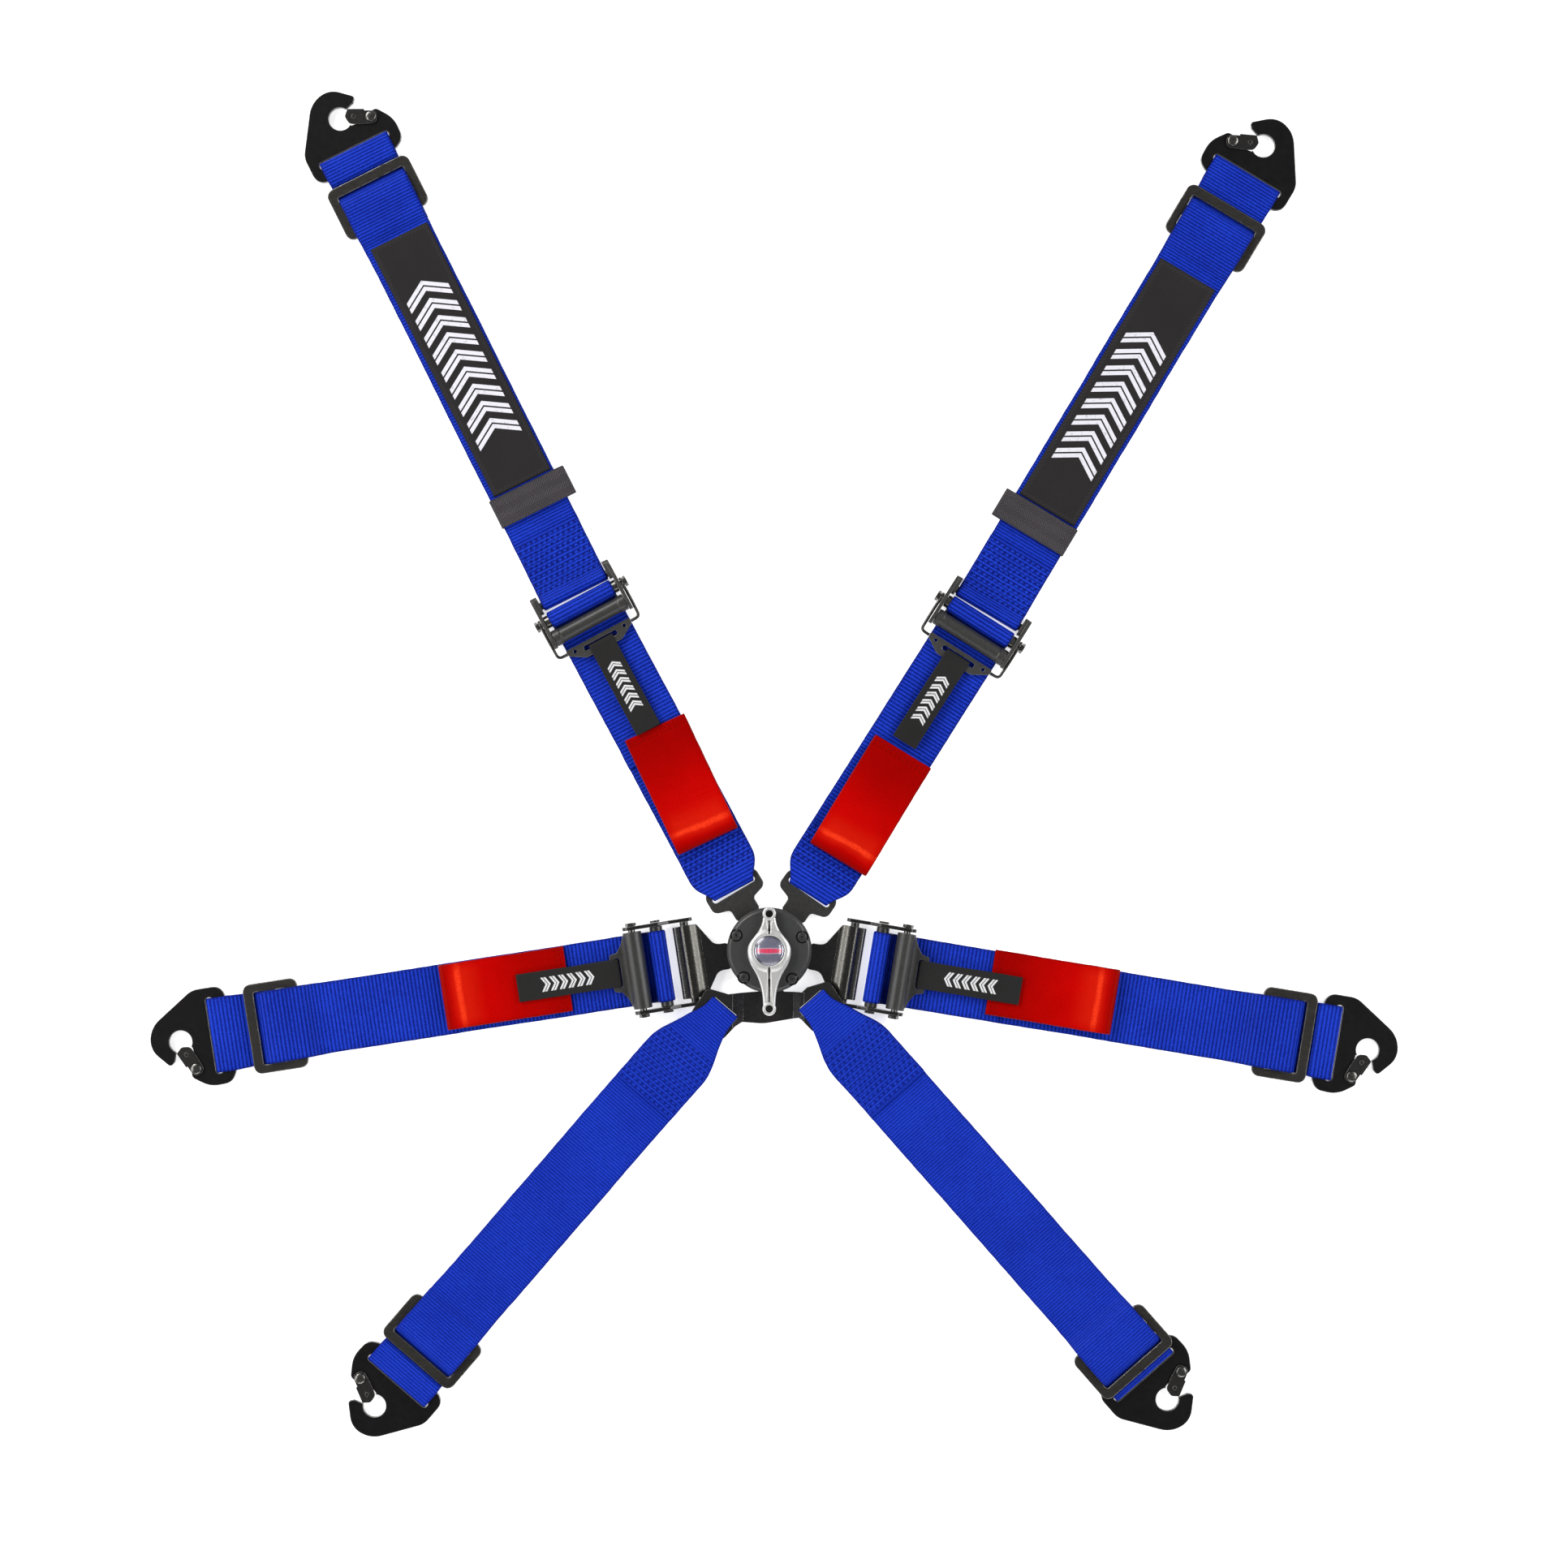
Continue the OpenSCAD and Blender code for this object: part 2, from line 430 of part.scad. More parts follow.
module tab_lap(a) color(black) rotate([0, 0, a]) side(19.4) band(concat([[178.8, 7.3], [lap_ax + 20, 7.4]],
  arc([lap_ax + 13.9, 6.1], 1.3, 95, 265, 8), [[lap_ax + 20, 4.8], [lap_ax + 32, 5.4], [138, 6.3], [178.8, 6.3]]), 0.8);

// ---- Three-bar slides ----
module slide_at(p, a, k) at(p, a) translate([k[0], 0, 0]) slab(k[2], slide_t) difference() {
  rbox(slide_l, slide_w, 5.5);
  for (m = [-1, 1]) translate([m * 7.55, 0]) rbox(9.1, 51.4, 1.5);
}

// ---- Snap hooks: the slot's outer edge at the local origin ----
module hook_plate() slab(hook_z, hook_t) difference() {
  rounded([[-14, -34, 8], [8.5, -34, 14], [40.5, -12.5, 19], [44, 3, 15], [31, 17.5, 2.2], [27.6, 14.2, 1.2],
    [25.2, 6, 0.3], [21.5, 3, 0], [14, 6, 0], [12.8, 13, 2], [18.2, 26.4, 4], [5.2, 35.4, 19], [-10, 34.6, 8], [-14.2, 27, 8]]);
  translate([21.5, 1]) circle(r = eye_r);
  translate([-2.6, 0]) rbox(5.2, 54, 2.4);
  translate([13.4, 21.2]) circle(r = rivet_r);
}
gate_dir = atan2(4.5 - 21.2, 21.4 - 13.4);
module gate_plate() translate([13.4, 21.2, 0]) rotate([0, 0, gate_dir]) {
  slab(hook_z + hook_t + 0.05, 1.4) difference() {
    rounded([[-4.4, -4.6, 3.5], [6, -5.4, 1], [15.2, -5.2, 4], [18.4, 0, 3], [16.4, 5.3, 1], [4.6, 5.3, 0.4], [4.6, 4.2, 0.4], [-4.4, 4.2, 3.5]]);
    circle(r = rivet_r + 0.06);
  }
  // lip folded down beside the hook's nose
  slab(hook_z + 0.2, hook_t) translate([6, 4.3]) square([10, 1]);
  translate([12.1, 0, hook_z + hook_t + 1]) cylinder(r = 1.4, h = 1.1);
}
module hook_at(p, a, k, m) at(p, a) translate([k[1], 0, 0]) mirror([0, m < 0 ? 1 : 0, 0]) children();
module rivet() translate([13.4, 21.2, 0]) {
  translate([0, 0, hook_z - 0.8]) cylinder(r = rivet_r + 0.1, h = 0.8);
  translate([0, 0, hook_z]) cylinder(r = rivet_r, h = hook_t + 1.6);
  translate([0, 0, hook_z + hook_t + 1.55]) rotate_extrude() polygon([[0, 0], [3.9, 0], [3.6, 0.7], [2.4, 1.2], [0, 1.4]]);
}
ends = [[sl1, a_sl, sh_l, -1], [sr1, a_sr, sh_r, 1], [[0, 0], a_ll, lp_l, 1],
  [[0, 0], a_lr, lp_r, -1], [cl0, a_cl, cr_l, -1], [cr0, a_cr, cr_r, 1]];
module end_hook(i) color(black) hook_at(ends[i][0], ends[i][1], ends[i][2], ends[i][3]) hook_plate();
module end_gate(i) color(black) hook_at(ends[i][0], ends[i][1], ends[i][2], ends[i][3]) gate_plate();
module gate_rivets() color(steel) for (e = ends) hook_at(e[0], e[1], e[2], e[3]) rivet();

buckle_base();
buckle_guide_plate();
buckle_cover();
cover_screws();
lock_pins();
pin_springs();
cam_spindle();
release_lever();
lever_badge();
tongue_shoulder(a_tl);  // tongue_shoulder_l
tongue_shoulder(a_tr);  // tongue_shoulder_r
tongue_lap(a_ll);  // tongue_lap_l
tongue_lap(a_lr);  // tongue_lap_r
crotch_plate();
strap_shoulder_lower(sl0, a_low_l, low_l);  // strap_shoulder_lower_l
strap_shoulder_lower(sr0, a_low_r, low_r);  // strap_shoulder_lower_r
strap_shoulder_upper(sl1, a_sl, sh_l);  // strap_shoulder_upper_l
strap_shoulder_upper(sr1, a_sr, sh_r);  // strap_shoulder_upper_r
strap_lap(a_ll, lp_l, 152);  // strap_lap_l
strap_lap(a_lr, lp_r, 167);  // strap_lap_r
strap_crotch(cl0, a_cl, cr_l, fold_l, 1);  // strap_crotch_l
strap_crotch(cr0, a_cr, cr_r, fold_r, -1);  // strap_crotch_r
color(red) {  // pull_loops_shoulder
  at(sl0, a_low_l) rotate([0, 0, 180]) pull_loop(-129, 2.3, 3.35, -3);
  at(sr0, a_low_r) rotate([0, 0, 180]) pull_loop(-121, 4, 3.35, 1);
}
color(red) {  // pull_loops_lap
  rotate([0, 0, a_ll]) pull_loop(143, -1.5, 3.35, 0);
  rotate([0, 0, a_lr]) pull_loop(157, 3, 3.35, 0);
}
panel(sl1, a_sl, 95, 290, -1);  // panel_l
panel(sr1, a_sr, 92, 285.5, 0);  // panel_r
keeper(sl1, a_sl, 83, -3, 0);  // keeper_l
keeper(sr1, a_sr, 80.2, 3, 0);  // keeper_r
adjuster_frame(sl1, a_low_l, a_sl);  // adjuster_frame_l
adjuster_frame(sr1, a_low_r, a_sr);  // adjuster_frame_r
adjuster_bolts();
adjuster_rollers();
bail(sl1, a_low_l);  // bail_l
bail(sr1, a_low_r);  // bail_r
tilt_plate(sl1, a_low_l);  // tilt_plate_l
tilt_plate(sr1, a_low_r);  // tilt_plate_r
tab_shoulder(sl1, a_low_l);  // tab_shoulder_l
tab_shoulder(sr1, a_low_r);  // tab_shoulder_r
lap_axles();
lap_slide_bars();
lap_tilt(a_ll);  // lap_tilt_l
lap_tilt(a_lr);  // lap_tilt_r
tab_lap(a_ll);  // tab_lap_l
tab_lap(a_lr);  // tab_lap_r
color(black) { slide_at(sl1, a_sl, sh_l); slide_at(sr1, a_sr, sh_r); }  // slides_shoulder
color(black) { slide_at([0, 0], a_ll, lp_l); slide_at([0, 0], a_lr, lp_r); }  // slides_lap
color(black) { slide_at(cl0, a_cl, cr_l); slide_at(cr0, a_cr, cr_r); }  // slides_crotch
end_hook(0);  // hook_shoulder_l
end_hook(1);  // hook_shoulder_r
end_hook(2);  // hook_lap_l
end_hook(3);  // hook_lap_r
end_hook(4);  // hook_crotch_l
end_hook(5);  // hook_crotch_r
gate_rivets();
end_gate(0);  // gate_shoulder_l
end_gate(1);  // gate_shoulder_r
end_gate(2);  // gate_lap_l
end_gate(3);  // gate_lap_r
end_gate(4);  // gate_crotch_l
end_gate(5);  // gate_crotch_r
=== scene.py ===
import json
import math
import bpy
import bmesh
import numpy as np
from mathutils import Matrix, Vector, noise


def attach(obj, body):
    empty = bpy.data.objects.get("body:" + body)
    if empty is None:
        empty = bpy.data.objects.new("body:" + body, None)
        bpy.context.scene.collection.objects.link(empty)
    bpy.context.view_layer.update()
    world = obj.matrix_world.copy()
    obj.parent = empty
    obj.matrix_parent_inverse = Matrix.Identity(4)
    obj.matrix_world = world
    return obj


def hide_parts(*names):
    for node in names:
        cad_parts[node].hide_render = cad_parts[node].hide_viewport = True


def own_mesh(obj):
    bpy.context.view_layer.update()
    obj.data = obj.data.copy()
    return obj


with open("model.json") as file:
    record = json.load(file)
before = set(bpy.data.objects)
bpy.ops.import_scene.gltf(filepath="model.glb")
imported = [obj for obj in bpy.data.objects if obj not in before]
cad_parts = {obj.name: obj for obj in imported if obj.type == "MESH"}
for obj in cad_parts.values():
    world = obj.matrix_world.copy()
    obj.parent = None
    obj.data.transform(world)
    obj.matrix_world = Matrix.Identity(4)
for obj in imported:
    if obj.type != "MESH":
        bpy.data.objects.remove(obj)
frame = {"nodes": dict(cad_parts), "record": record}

nodes = frame["nodes"]
for old in ("Cube", "Light", "Camera"):
    if old in bpy.data.objects:
        bpy.data.objects.remove(bpy.data.objects[old])
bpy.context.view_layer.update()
node_body = {n: b for b, ns in frame["record"]["behaviour"]["bodies"].items() for n in ns}
scene = bpy.context.scene
MM = 0.001

# ------------------------------------------------------------------ camera, light, floor
lens, sensor, width = 85.0, 36.0, 1.104
cam_data = bpy.data.cameras.new("camera")
cam_data.lens, cam_data.sensor_width = lens, sensor
cam_data.dof.use_dof = False
cam_data.clip_start, cam_data.clip_end = 0.1, 30
cam = bpy.data.objects.new("camera", cam_data)
cam.location = (0.0103, 0.1163, width * lens / sensor)
scene.collection.objects.link(cam)
scene.camera = cam
scene.view_settings.view_transform = "Standard"
scene.view_settings.look = "None"


def area(name, loc, size, power, look=(0.01, 0.1, 0), colour=(1, 1, 1)):
    d = bpy.data.lights.new(name, "AREA")
    d.shape, d.size, d.size_y, d.energy, d.color = "RECTANGLE", size[0], size[1], power, colour
    o = bpy.data.objects.new(name, d)
    o.location = loc
    o.rotation_mode = "QUATERNION"
    o.rotation_quaternion = (Vector(look) - Vector(loc)).to_track_quat("-Z", "Y")
    scene.collection.objects.link(o)
    return o


area("key", (-1.5, 1.6, 1.35), (1.3, 0.9), 43, colour=(1, 0.985, 0.965))
area("fill", (1.9, 0.7, 1.0), (1.6, 0.8), 23, colour=(0.97, 0.985, 1))
area("front", (0.1, -1.9, 1.1), (2.4, 0.7), 22)
area("left", (-2.0, -0.3, 0.9), (1.8, 0.6), 14)
area("strip_right", (1.55, 0.1, 1.65), (1.4, 0.22), 13)
area("strip_left", (-1.55, 0.1, 1.65), (1.4, 0.22), 13)
world = bpy.data.worlds.new("studio")
scene.world = world
world.use_nodes = True
world.node_tree.nodes["Background"].inputs[0].default_value = (0.94, 0.96, 1.0, 1)
world.node_tree.nodes["Background"].inputs[1].default_value = 0.2


# ------------------------------------------------------------------ material helper
class G:
    """A material and short calls for its nodes."""

    def __init__(self, name):
        self.m = bpy.data.materials.new(name)
        self.m.use_nodes = True
        self.t = self.m.node_tree
        self.t.nodes.clear()
        self.out = self.t.nodes.new("ShaderNodeOutputMaterial")
        self.b = self.t.nodes.new("ShaderNodeBsdfPrincipled")
        self.t.links.new(self.b.outputs[0], self.out.inputs[0])
        self._obj = None
        self._uv = None

    def n(self, kind, ins=None, **props):
        x = self.t.nodes.new(kind)
        for k, v in props.items():
            setattr(x, k, v)
        for k, v in (ins or {}).items():
            if isinstance(v, bpy.types.NodeSocket):
                self.t.links.new(v, x.inputs[k])
            else:
                x.inputs[k].default_value = v
        return x

    def math(self, op, a, b=None, c=None, clamp=False):
        ins = {0: a}
        if b is not None:
            ins[1] = b
        if c is not None:
            ins[2] = c
        return self.n("ShaderNodeMath", ins, operation=op, use_clamp=clamp).outputs[0]

    def obj(self):
        if self._obj is None:
            self._obj = self.n("ShaderNodeTexCoord").outputs["Object"]
        return self._obj

    def uv(self):
        """(across, along) in metres."""
        if self._uv is None:
            u = self.n("ShaderNodeUVMap", uv_map="cloth").outputs[0]
            s = self.n("ShaderNodeSeparateXYZ", {0: u})
            self._uv = (s.outputs[0], s.outputs[1])
        return self._uv

    def attr(self, name):
        return self.n("ShaderNodeAttribute", attribute_name=name).outputs["Fac"]

    def noise(self, scale, detail=2.0, rough=0.5, vec=None, stretch=None):
        v = vec or self.obj()
        if stretch:
            v = self.n("ShaderNodeMapping", {"Vector": v, "Scale": stretch}).outputs[0]
        return self.n("ShaderNodeTexNoise", {"Vector": v, "Scale": scale, "Detail": detail, "Roughness": rough}).outputs["Fac"]

    def wave(self, x, pitch, phase=0.0):
        """0 to 1, once every pitch."""
        a = self.math("MULTIPLY_ADD", x, 2 * math.pi / pitch, phase)
        return self.math("MULTIPLY_ADD", self.math("COSINE", a), 0.5, 0.5)

    def range(self, x, a, b, c=0.0, d=1.0, smooth=True):
        return self.n("ShaderNodeMapRange", {"Value": x, "From Min": a, "From Max": b, "To Min": c, "To Max": d},
                      interpolation_type="SMOOTHSTEP" if smooth else "LINEAR").outputs[0]

    def mix(self, fac, a, b):
        x = self.t.nodes.new("ShaderNodeMix")
        x.data_type = "RGBA"
        for k, v in ((0, fac), (6, a), (7, b)):
            if isinstance(v, bpy.types.NodeSocket):
                self.t.links.new(v, x.inputs[k])
            else:
                x.inputs[k].default_value = v if k == 0 else (*v, 1) if len(v) == 3 else v
        return x.outputs[2]

    def bump(self, height, dist, strength=1.0):
        x = self.n("ShaderNodeBump", {"Height": height, "Strength": strength, "Distance": dist})
        self.t.links.new(x.outputs[0], self.b.inputs["Normal"])

    def set(self, **kw):
        for k, v in kw.items():
            k = k.replace("_", " ")
            if isinstance(v, bpy.types.NodeSocket):
                self.t.links.new(v, self.b.inputs[k])
            else:
                self.b.inputs[k].default_value = (*v, 1) if isinstance(v, tuple) and len(v) == 3 else v
        return self.m


# ------------------------------------------------------------------ cloth materials
def webbing(name, light, dark, pitch):
    g = G(name)
    u, v = g.uv()
    rib = g.range(g.wave(v, pitch * MM), 0.10, 0.72)
    row = g.math("FLOOR", g.math("MULTIPLY", v, 1 / (pitch * MM)))
    ushift = g.math("MULTIPLY_ADD", g.math("MODULO", row, 2.0), 0.00055, u)
    yarn = g.wave(ushift, 0.0011)
    big = g.noise(22, 3, 0.55)
    fine = g.noise(750, 2, 0.6)
    rim = g.attr("rim")
    st = g.attr("stitch")
    # sewn zone: rows of dimples, each row half a step on from the last, with thread between; the dimples are pressed in
    # by the bump and painted darker as painted shade
    srow = g.math("FLOOR", g.math("MULTIPLY", v, 1 / 0.0040))
    su = g.math("MULTIPLY_ADD", g.math("MODULO", srow, 2.0), 0.0021, g.math("MULTIPLY_ADD", fine, 0.0010, u))
    dots = g.math("MULTIPLY", g.range(g.wave(g.math("ADD", v, g.math("MULTIPLY", big, 0.004)), 0.0040), 0.35, 0.8), g.range(g.wave(su, 0.0042), 0.4, 0.85))
    dots = g.math("MULTIPLY", dots, st)
    thread = g.math("MULTIPLY", g.range(g.wave(g.math("ADD", u, g.math("MULTIPLY", g.math("PINGPONG", v, 0.0040), 0.55)), 0.0042), 0.72, 0.95), st)
    # the ribs are painted lighter on their crests and darker in the grooves between them: the weave's pattern plus
    # painted shade in the grooves
    tone = g.math("ADD", g.math("MULTIPLY", rib, 0.62), g.math("MULTIPLY", yarn, 0.14))
    tone = g.math("ADD", tone, g.math("MULTIPLY", g.math("SUBTRACT", big, 0.5), 0.55))
    tone = g.math("ADD", tone, g.math("MULTIPLY", g.math("SUBTRACT", fine, 0.5), 0.95))
    tone = g.math("SUBTRACT", tone, g.math("MULTIPLY", dots, 0.95))
    tone = g.math("ADD", tone, g.math("MULTIPLY", thread, 0.22))
    tone = g.math("SUBTRACT", tone, g.math("MULTIPLY", rim, 0.6), clamp=True)
    col = g.mix(tone, dark, light)
    h = g.math("ADD", g.math("MULTIPLY", rib, 0.6), g.math("MULTIPLY", yarn, 0.22))
    h = g.math("ADD", h, g.math("MULTIPLY", fine, 0.25))
    h = g.math("SUBTRACT", h, g.math("MULTIPLY", dots, 1.8))
    h = g.math("ADD", h, g.math("MULTIPLY", thread, 0.8))
    g.bump(h, 0.00028, 0.9)
    rough = g.math("MULTIPLY_ADD", big, 0.2, 0.42)
    return g.set(Base_Color=col, Roughness=rough, Specular_IOR_Level=0.16, Specular_Tint=(0.35, 0.5, 1.0),
                 Sheen_Weight=0.04, Sheen_Roughness=0.4, Sheen_Tint=(0.2, 0.35, 1.0))


BLUE_L, BLUE_D = (0.0115, 0.046, 0.56), (0.0008, 0.0065, 0.155)
blue_lap = webbing("webbing_lap", BLUE_L, BLUE_D, 2.7)
blue_low = webbing("webbing_shoulder", BLUE_L, BLUE_D, 2.6)
blue_up = webbing("webbing_upper", BLUE_L, BLUE_D, 2.2)
blue_cr = webbing("webbing_crotch", (0.0110, 0.044, 0.53), (0.0020, 0.0105, 0.215), 2.1)


def satin():
    g = G("webbing_red_satin")
    u, v = g.uv()
    rib = g.wave(v, 0.0011)
    float_row = g.math("FLOOR", g.math("MULTIPLY", v, 1 / 0.0011))
    us = g.math("MULTIPLY_ADD", g.math("MODULO", float_row, 3.0), 0.0004, u)
    yarn = g.wave(us, 0.0012)
    fine, big = g.noise(800, 2, 0.6), g.noise(30, 3, 0.5)
    rim, st = g.attr("rim"), g.attr("stitch")
    # stitch dimples, painted darker: painted shade
    dots = g.math("MULTIPLY", g.math("SUBTRACT", g.wave(v, 0.0028), 0.4), g.math("SUBTRACT", g.wave(u, 0.0034), 0.4))
    dots = g.math("MULTIPLY", g.range(dots, 0.02, 0.2), st)
    tone = g.math("ADD", g.math("MULTIPLY", rib, 0.32), g.math("MULTIPLY", yarn, 0.14))
    tone = g.math("ADD", tone, g.math("MULTIPLY_ADD", big, 0.5, 0.05))
    tone = g.math("ADD", tone, g.math("MULTIPLY", g.math("SUBTRACT", fine, 0.5), 0.4))
    tone = g.math("SUBTRACT", tone, g.math("MULTIPLY", dots, 0.5))
    tone = g.math("SUBTRACT", tone, g.math("MULTIPLY", rim, 0.4), clamp=True)
    col = g.mix(tone, (0.26, 0.0002, 0.0002), (0.60, 0.0006, 0.0006))
    # painted shade: the satin is painted darker away from the fold and at the fold itself, with a painted highlight, a
    # thin bright line and a soft glow, between
    painted_shade = g.math("MULTIPLY", g.math("MULTIPLY_ADD", g.range(v, 0.172, 0.113), 0.42, 0.58),
                  g.math("MULTIPLY_ADD", g.range(v, 0.0890, 0.1020), 0.62, 0.38))
    col = g.mix(painted_shade, (0.05, 0.0001, 0.0001), col)
    # painted highlight: a thin bright line across the loop with a soft glow round it, weaker towards the loop's edges
    w = g.math("MULTIPLY_ADD", big, 0.007, v)
    painted_highlight_line = g.math("MULTIPLY", g.range(w, 0.1045, 0.1070), g.range(w, 0.1105, 0.1078))
    painted_highlight_glow = g.math("MULTIPLY", g.range(w, 0.1000, 0.1070), g.range(w, 0.1270, 0.1090))
    painted_highlight = g.math("ADD", g.math("MULTIPLY", painted_highlight_line, g.math("MULTIPLY_ADD", fine, 1.0, -0.02)), g.math("MULTIPLY", painted_highlight_glow, 0.16), clamp=True)
    painted_highlight = g.math("MULTIPLY", painted_highlight, g.math("SUBTRACT", 1.0, g.math("MULTIPLY", g.range(g.math("ABSOLUTE", u), 0.015, 0.023), 0.75)))
    col = g.mix(painted_highlight, col, (0.88, 0.048, 0.012))
    h = g.math("ADD", g.math("MULTIPLY", rib, 0.5), g.math("MULTIPLY", yarn, 0.25))
    h = g.math("SUBTRACT", h, g.math("MULTIPLY", dots, 1.2))
    g.bump(h, 0.00012, 0.7)
    return g.set(Base_Color=col, Roughness=g.math("MULTIPLY_ADD", big, 0.16, 0.28), Specular_IOR_Level=0.3,
                 Specular_Tint=(1.0, 0.10, 0.04))


red_mat = satin()


def printed(name, base, pale, v0, v1, half, pitch, weave, gloss):
    """Dark cloth with a pale printed row of nested chevrons between v0 and v1."""
    g = G(name)
    u, v = g.uv()
    au = g.math("ABSOLUTE", u)
    fine, big = g.noise(700, 2, 0.6), g.noise(24, 3, 0.5)
    saw = g.math("ADD", g.math("MULTIPLY", v, 1 / pitch), g.math("MULTIPLY", au, 0.62 / pitch))
    n0, n1 = math.ceil(v0 / pitch), math.floor(v1 / pitch)
    inside = g.math("MULTIPLY", g.range(saw, n0, n0 + 0.02), g.range(saw, n1, n1 - 0.02))
    inside = g.math("MULTIPLY", inside, g.range(au, half, half - 0.0004))
    f = g.math("FRACT", saw)
    d = g.math("ABSOLUTE", g.math("SUBTRACT", f, 0.5))
    band = g.range(d, 0.30, 0.285)
    core = g.range(d, 0.055, 0.04)
    mark = g.math("MULTIPLY", g.math("SUBTRACT", band, core, clamp=True), inside)
    worn = g.range(g.noise(420, 2, 0.65), 0.30, 0.44)
    mark = g.math("MULTIPLY", mark, g.math("MULTIPLY_ADD", worn, 0.25, 0.75))
    rib, yarn = g.wave(v, weave), g.wave(u, weave * 1.15)
    tone = g.math("ADD", g.math("MULTIPLY", g.math("MULTIPLY", rib, yarn), 0.5), g.math("MULTIPLY", big, 0.5))
    tone = g.math("ADD", tone, g.math("MULTIPLY", g.math("SUBTRACT", fine, 0.5), 0.35), clamp=True)
    st = g.attr("stitch")
    dash = g.math("MULTIPLY", g.range(g.wave(g.math("ADD", v, u), 0.003), 0.25, 0.5), st)
    col = g.mix(tone, tuple(c * 0.62 for c in base), tuple(c * 1.35 for c in base))
    col = g.mix(dash, col, tuple(c * 2.4 for c in base))
    col = g.mix(mark, col, pale)
    h = g.math("ADD", g.math("MULTIPLY", rib, 0.3), g.math("MULTIPLY", yarn, 0.3))
    h = g.math("ADD", g.math("ADD", h, g.math("MULTIPLY", mark, 0.5)), g.math("MULTIPLY", dash, 1.2))
    g.bump(h, 0.00012, 0.6)
    return g.set(Base_Color=col, Roughness=g.math("MULTIPLY_ADD", big, 0.2, gloss), Specular_IOR_Level=0.14,
                 Sheen_Weight=0.02)


panel_l_mat = printed("panel_cloth_l", (0.0165, 0.0148, 0.0152), (0.66, 0.65, 0.70), 0.032, 0.165, 0.0165, 0.0135, 0.0006, 0.62)
panel_r_mat = printed("panel_cloth_r", (0.0175, 0.0158, 0.0162), (0.66, 0.65, 0.70), 0.036, 0.160, 0.0165, 0.0135, 0.0006, 0.62)
tab_mat = printed("tab_cloth", (0.0150, 0.0142, 0.0138), (0.62, 0.62, 0.63), 0.016, 0.058, 0.0052, 0.0062, 0.0007, 0.5)


def elastic():
    g = G("elastic_black")
    u, v = g.uv()
    leg = g.math("PINGPONG", u, 0.0045)
    twill = g.wave(g.math("ADD", v, leg), 0.0021)
    fine, big = g.noise(800, 2, 0.6), g.noise(60, 3, 0.5)
    tone = g.math("ADD", g.math("MULTIPLY", twill, 0.6), g.math("MULTIPLY", big, 0.4))
    tone = g.math("ADD", tone, g.math("MULTIPLY", g.math("SUBTRACT", fine, 0.5), 0.5))
    tone = g.math("SUBTRACT", tone, g.math("MULTIPLY", g.attr("rim"), 0.4), clamp=True)
    g.bump(g.math("ADD", twill, g.math("MULTIPLY", fine, 0.4)), 0.00025, 0.8)
    return g.set(Base_Color=g.mix(tone, (0.006, 0.0050, 0.0056), (0.056, 0.047, 0.056)), Roughness=0.62,
                 Specular_IOR_Level=0.3, Sheen_Weight=0.1)


keeper_mat = elastic()


# ------------------------------------------------------------------ metal materials
def coated(name, dark, light, rough, metallic=0.0, spec=0.35, grain=260, streak=None, dirt=0.5, coat=0.0, bump=0.00003, peel=900,
           wear_and_highlight=None, width=0.45):
    """Painted or plain metal. The wear colour goes on the edges, partly as rubbed wear and partly as a painted
    highlight where the edges catch the light; width (mm) is how far that reaches.
    """
    g = G(name)
    big = g.noise(34, 4, 0.6)
    fine = g.noise(grain, 3, 0.6, stretch=streak)
    tone = g.math("MULTIPLY_ADD", fine, 0.55, g.math("MULTIPLY", big, dirt), clamp=True)
    col = g.mix(tone, dark, light)
    r = g.math("MULTIPLY_ADD", g.math("SUBTRACT", fine, 0.5), 0.22, rough)
    met = metallic
    x = g.n("ShaderNodeBump", {"Height": g.math("ADD", g.noise(peel, 2, 0.5), g.math("MULTIPLY", fine, 0.6)), "Strength": 0.5, "Distance": bump})
    if wear_and_highlight:
        bev = g.n("ShaderNodeBevel", {"Radius": width * MM})
        bev.samples = 4
        geo = g.n("ShaderNodeNewGeometry")
        dot = g.n("ShaderNodeVectorMath", {0: bev.outputs[0], 1: geo.outputs["Normal"]}, operation="DOT_PRODUCT").outputs["Value"]
        # the edges, found from the bevel normal and broken up by noise, take the wear colour: partly rubbed wear,
        # partly painted highlight
        worn = g.math("MULTIPLY", g.range(dot, 0.995, 0.90), g.range(g.math("ADD", fine, g.math("MULTIPLY", big, 0.6)), 0.55, 0.80))
        col = g.mix(worn, col, wear_and_highlight)
        met = g.math("MULTIPLY_ADD", worn, max(0.0, 0.9 - metallic), metallic)
        g.t.links.new(bev.outputs[0], x.inputs["Normal"])
    g.t.links.new(x.outputs[0], g.b.inputs["Normal"])
    return g.set(Base_Color=col, Roughness=r, Metallic=met, Specular_IOR_Level=spec, Coat_Weight=coat, Coat_Roughness=0.18)


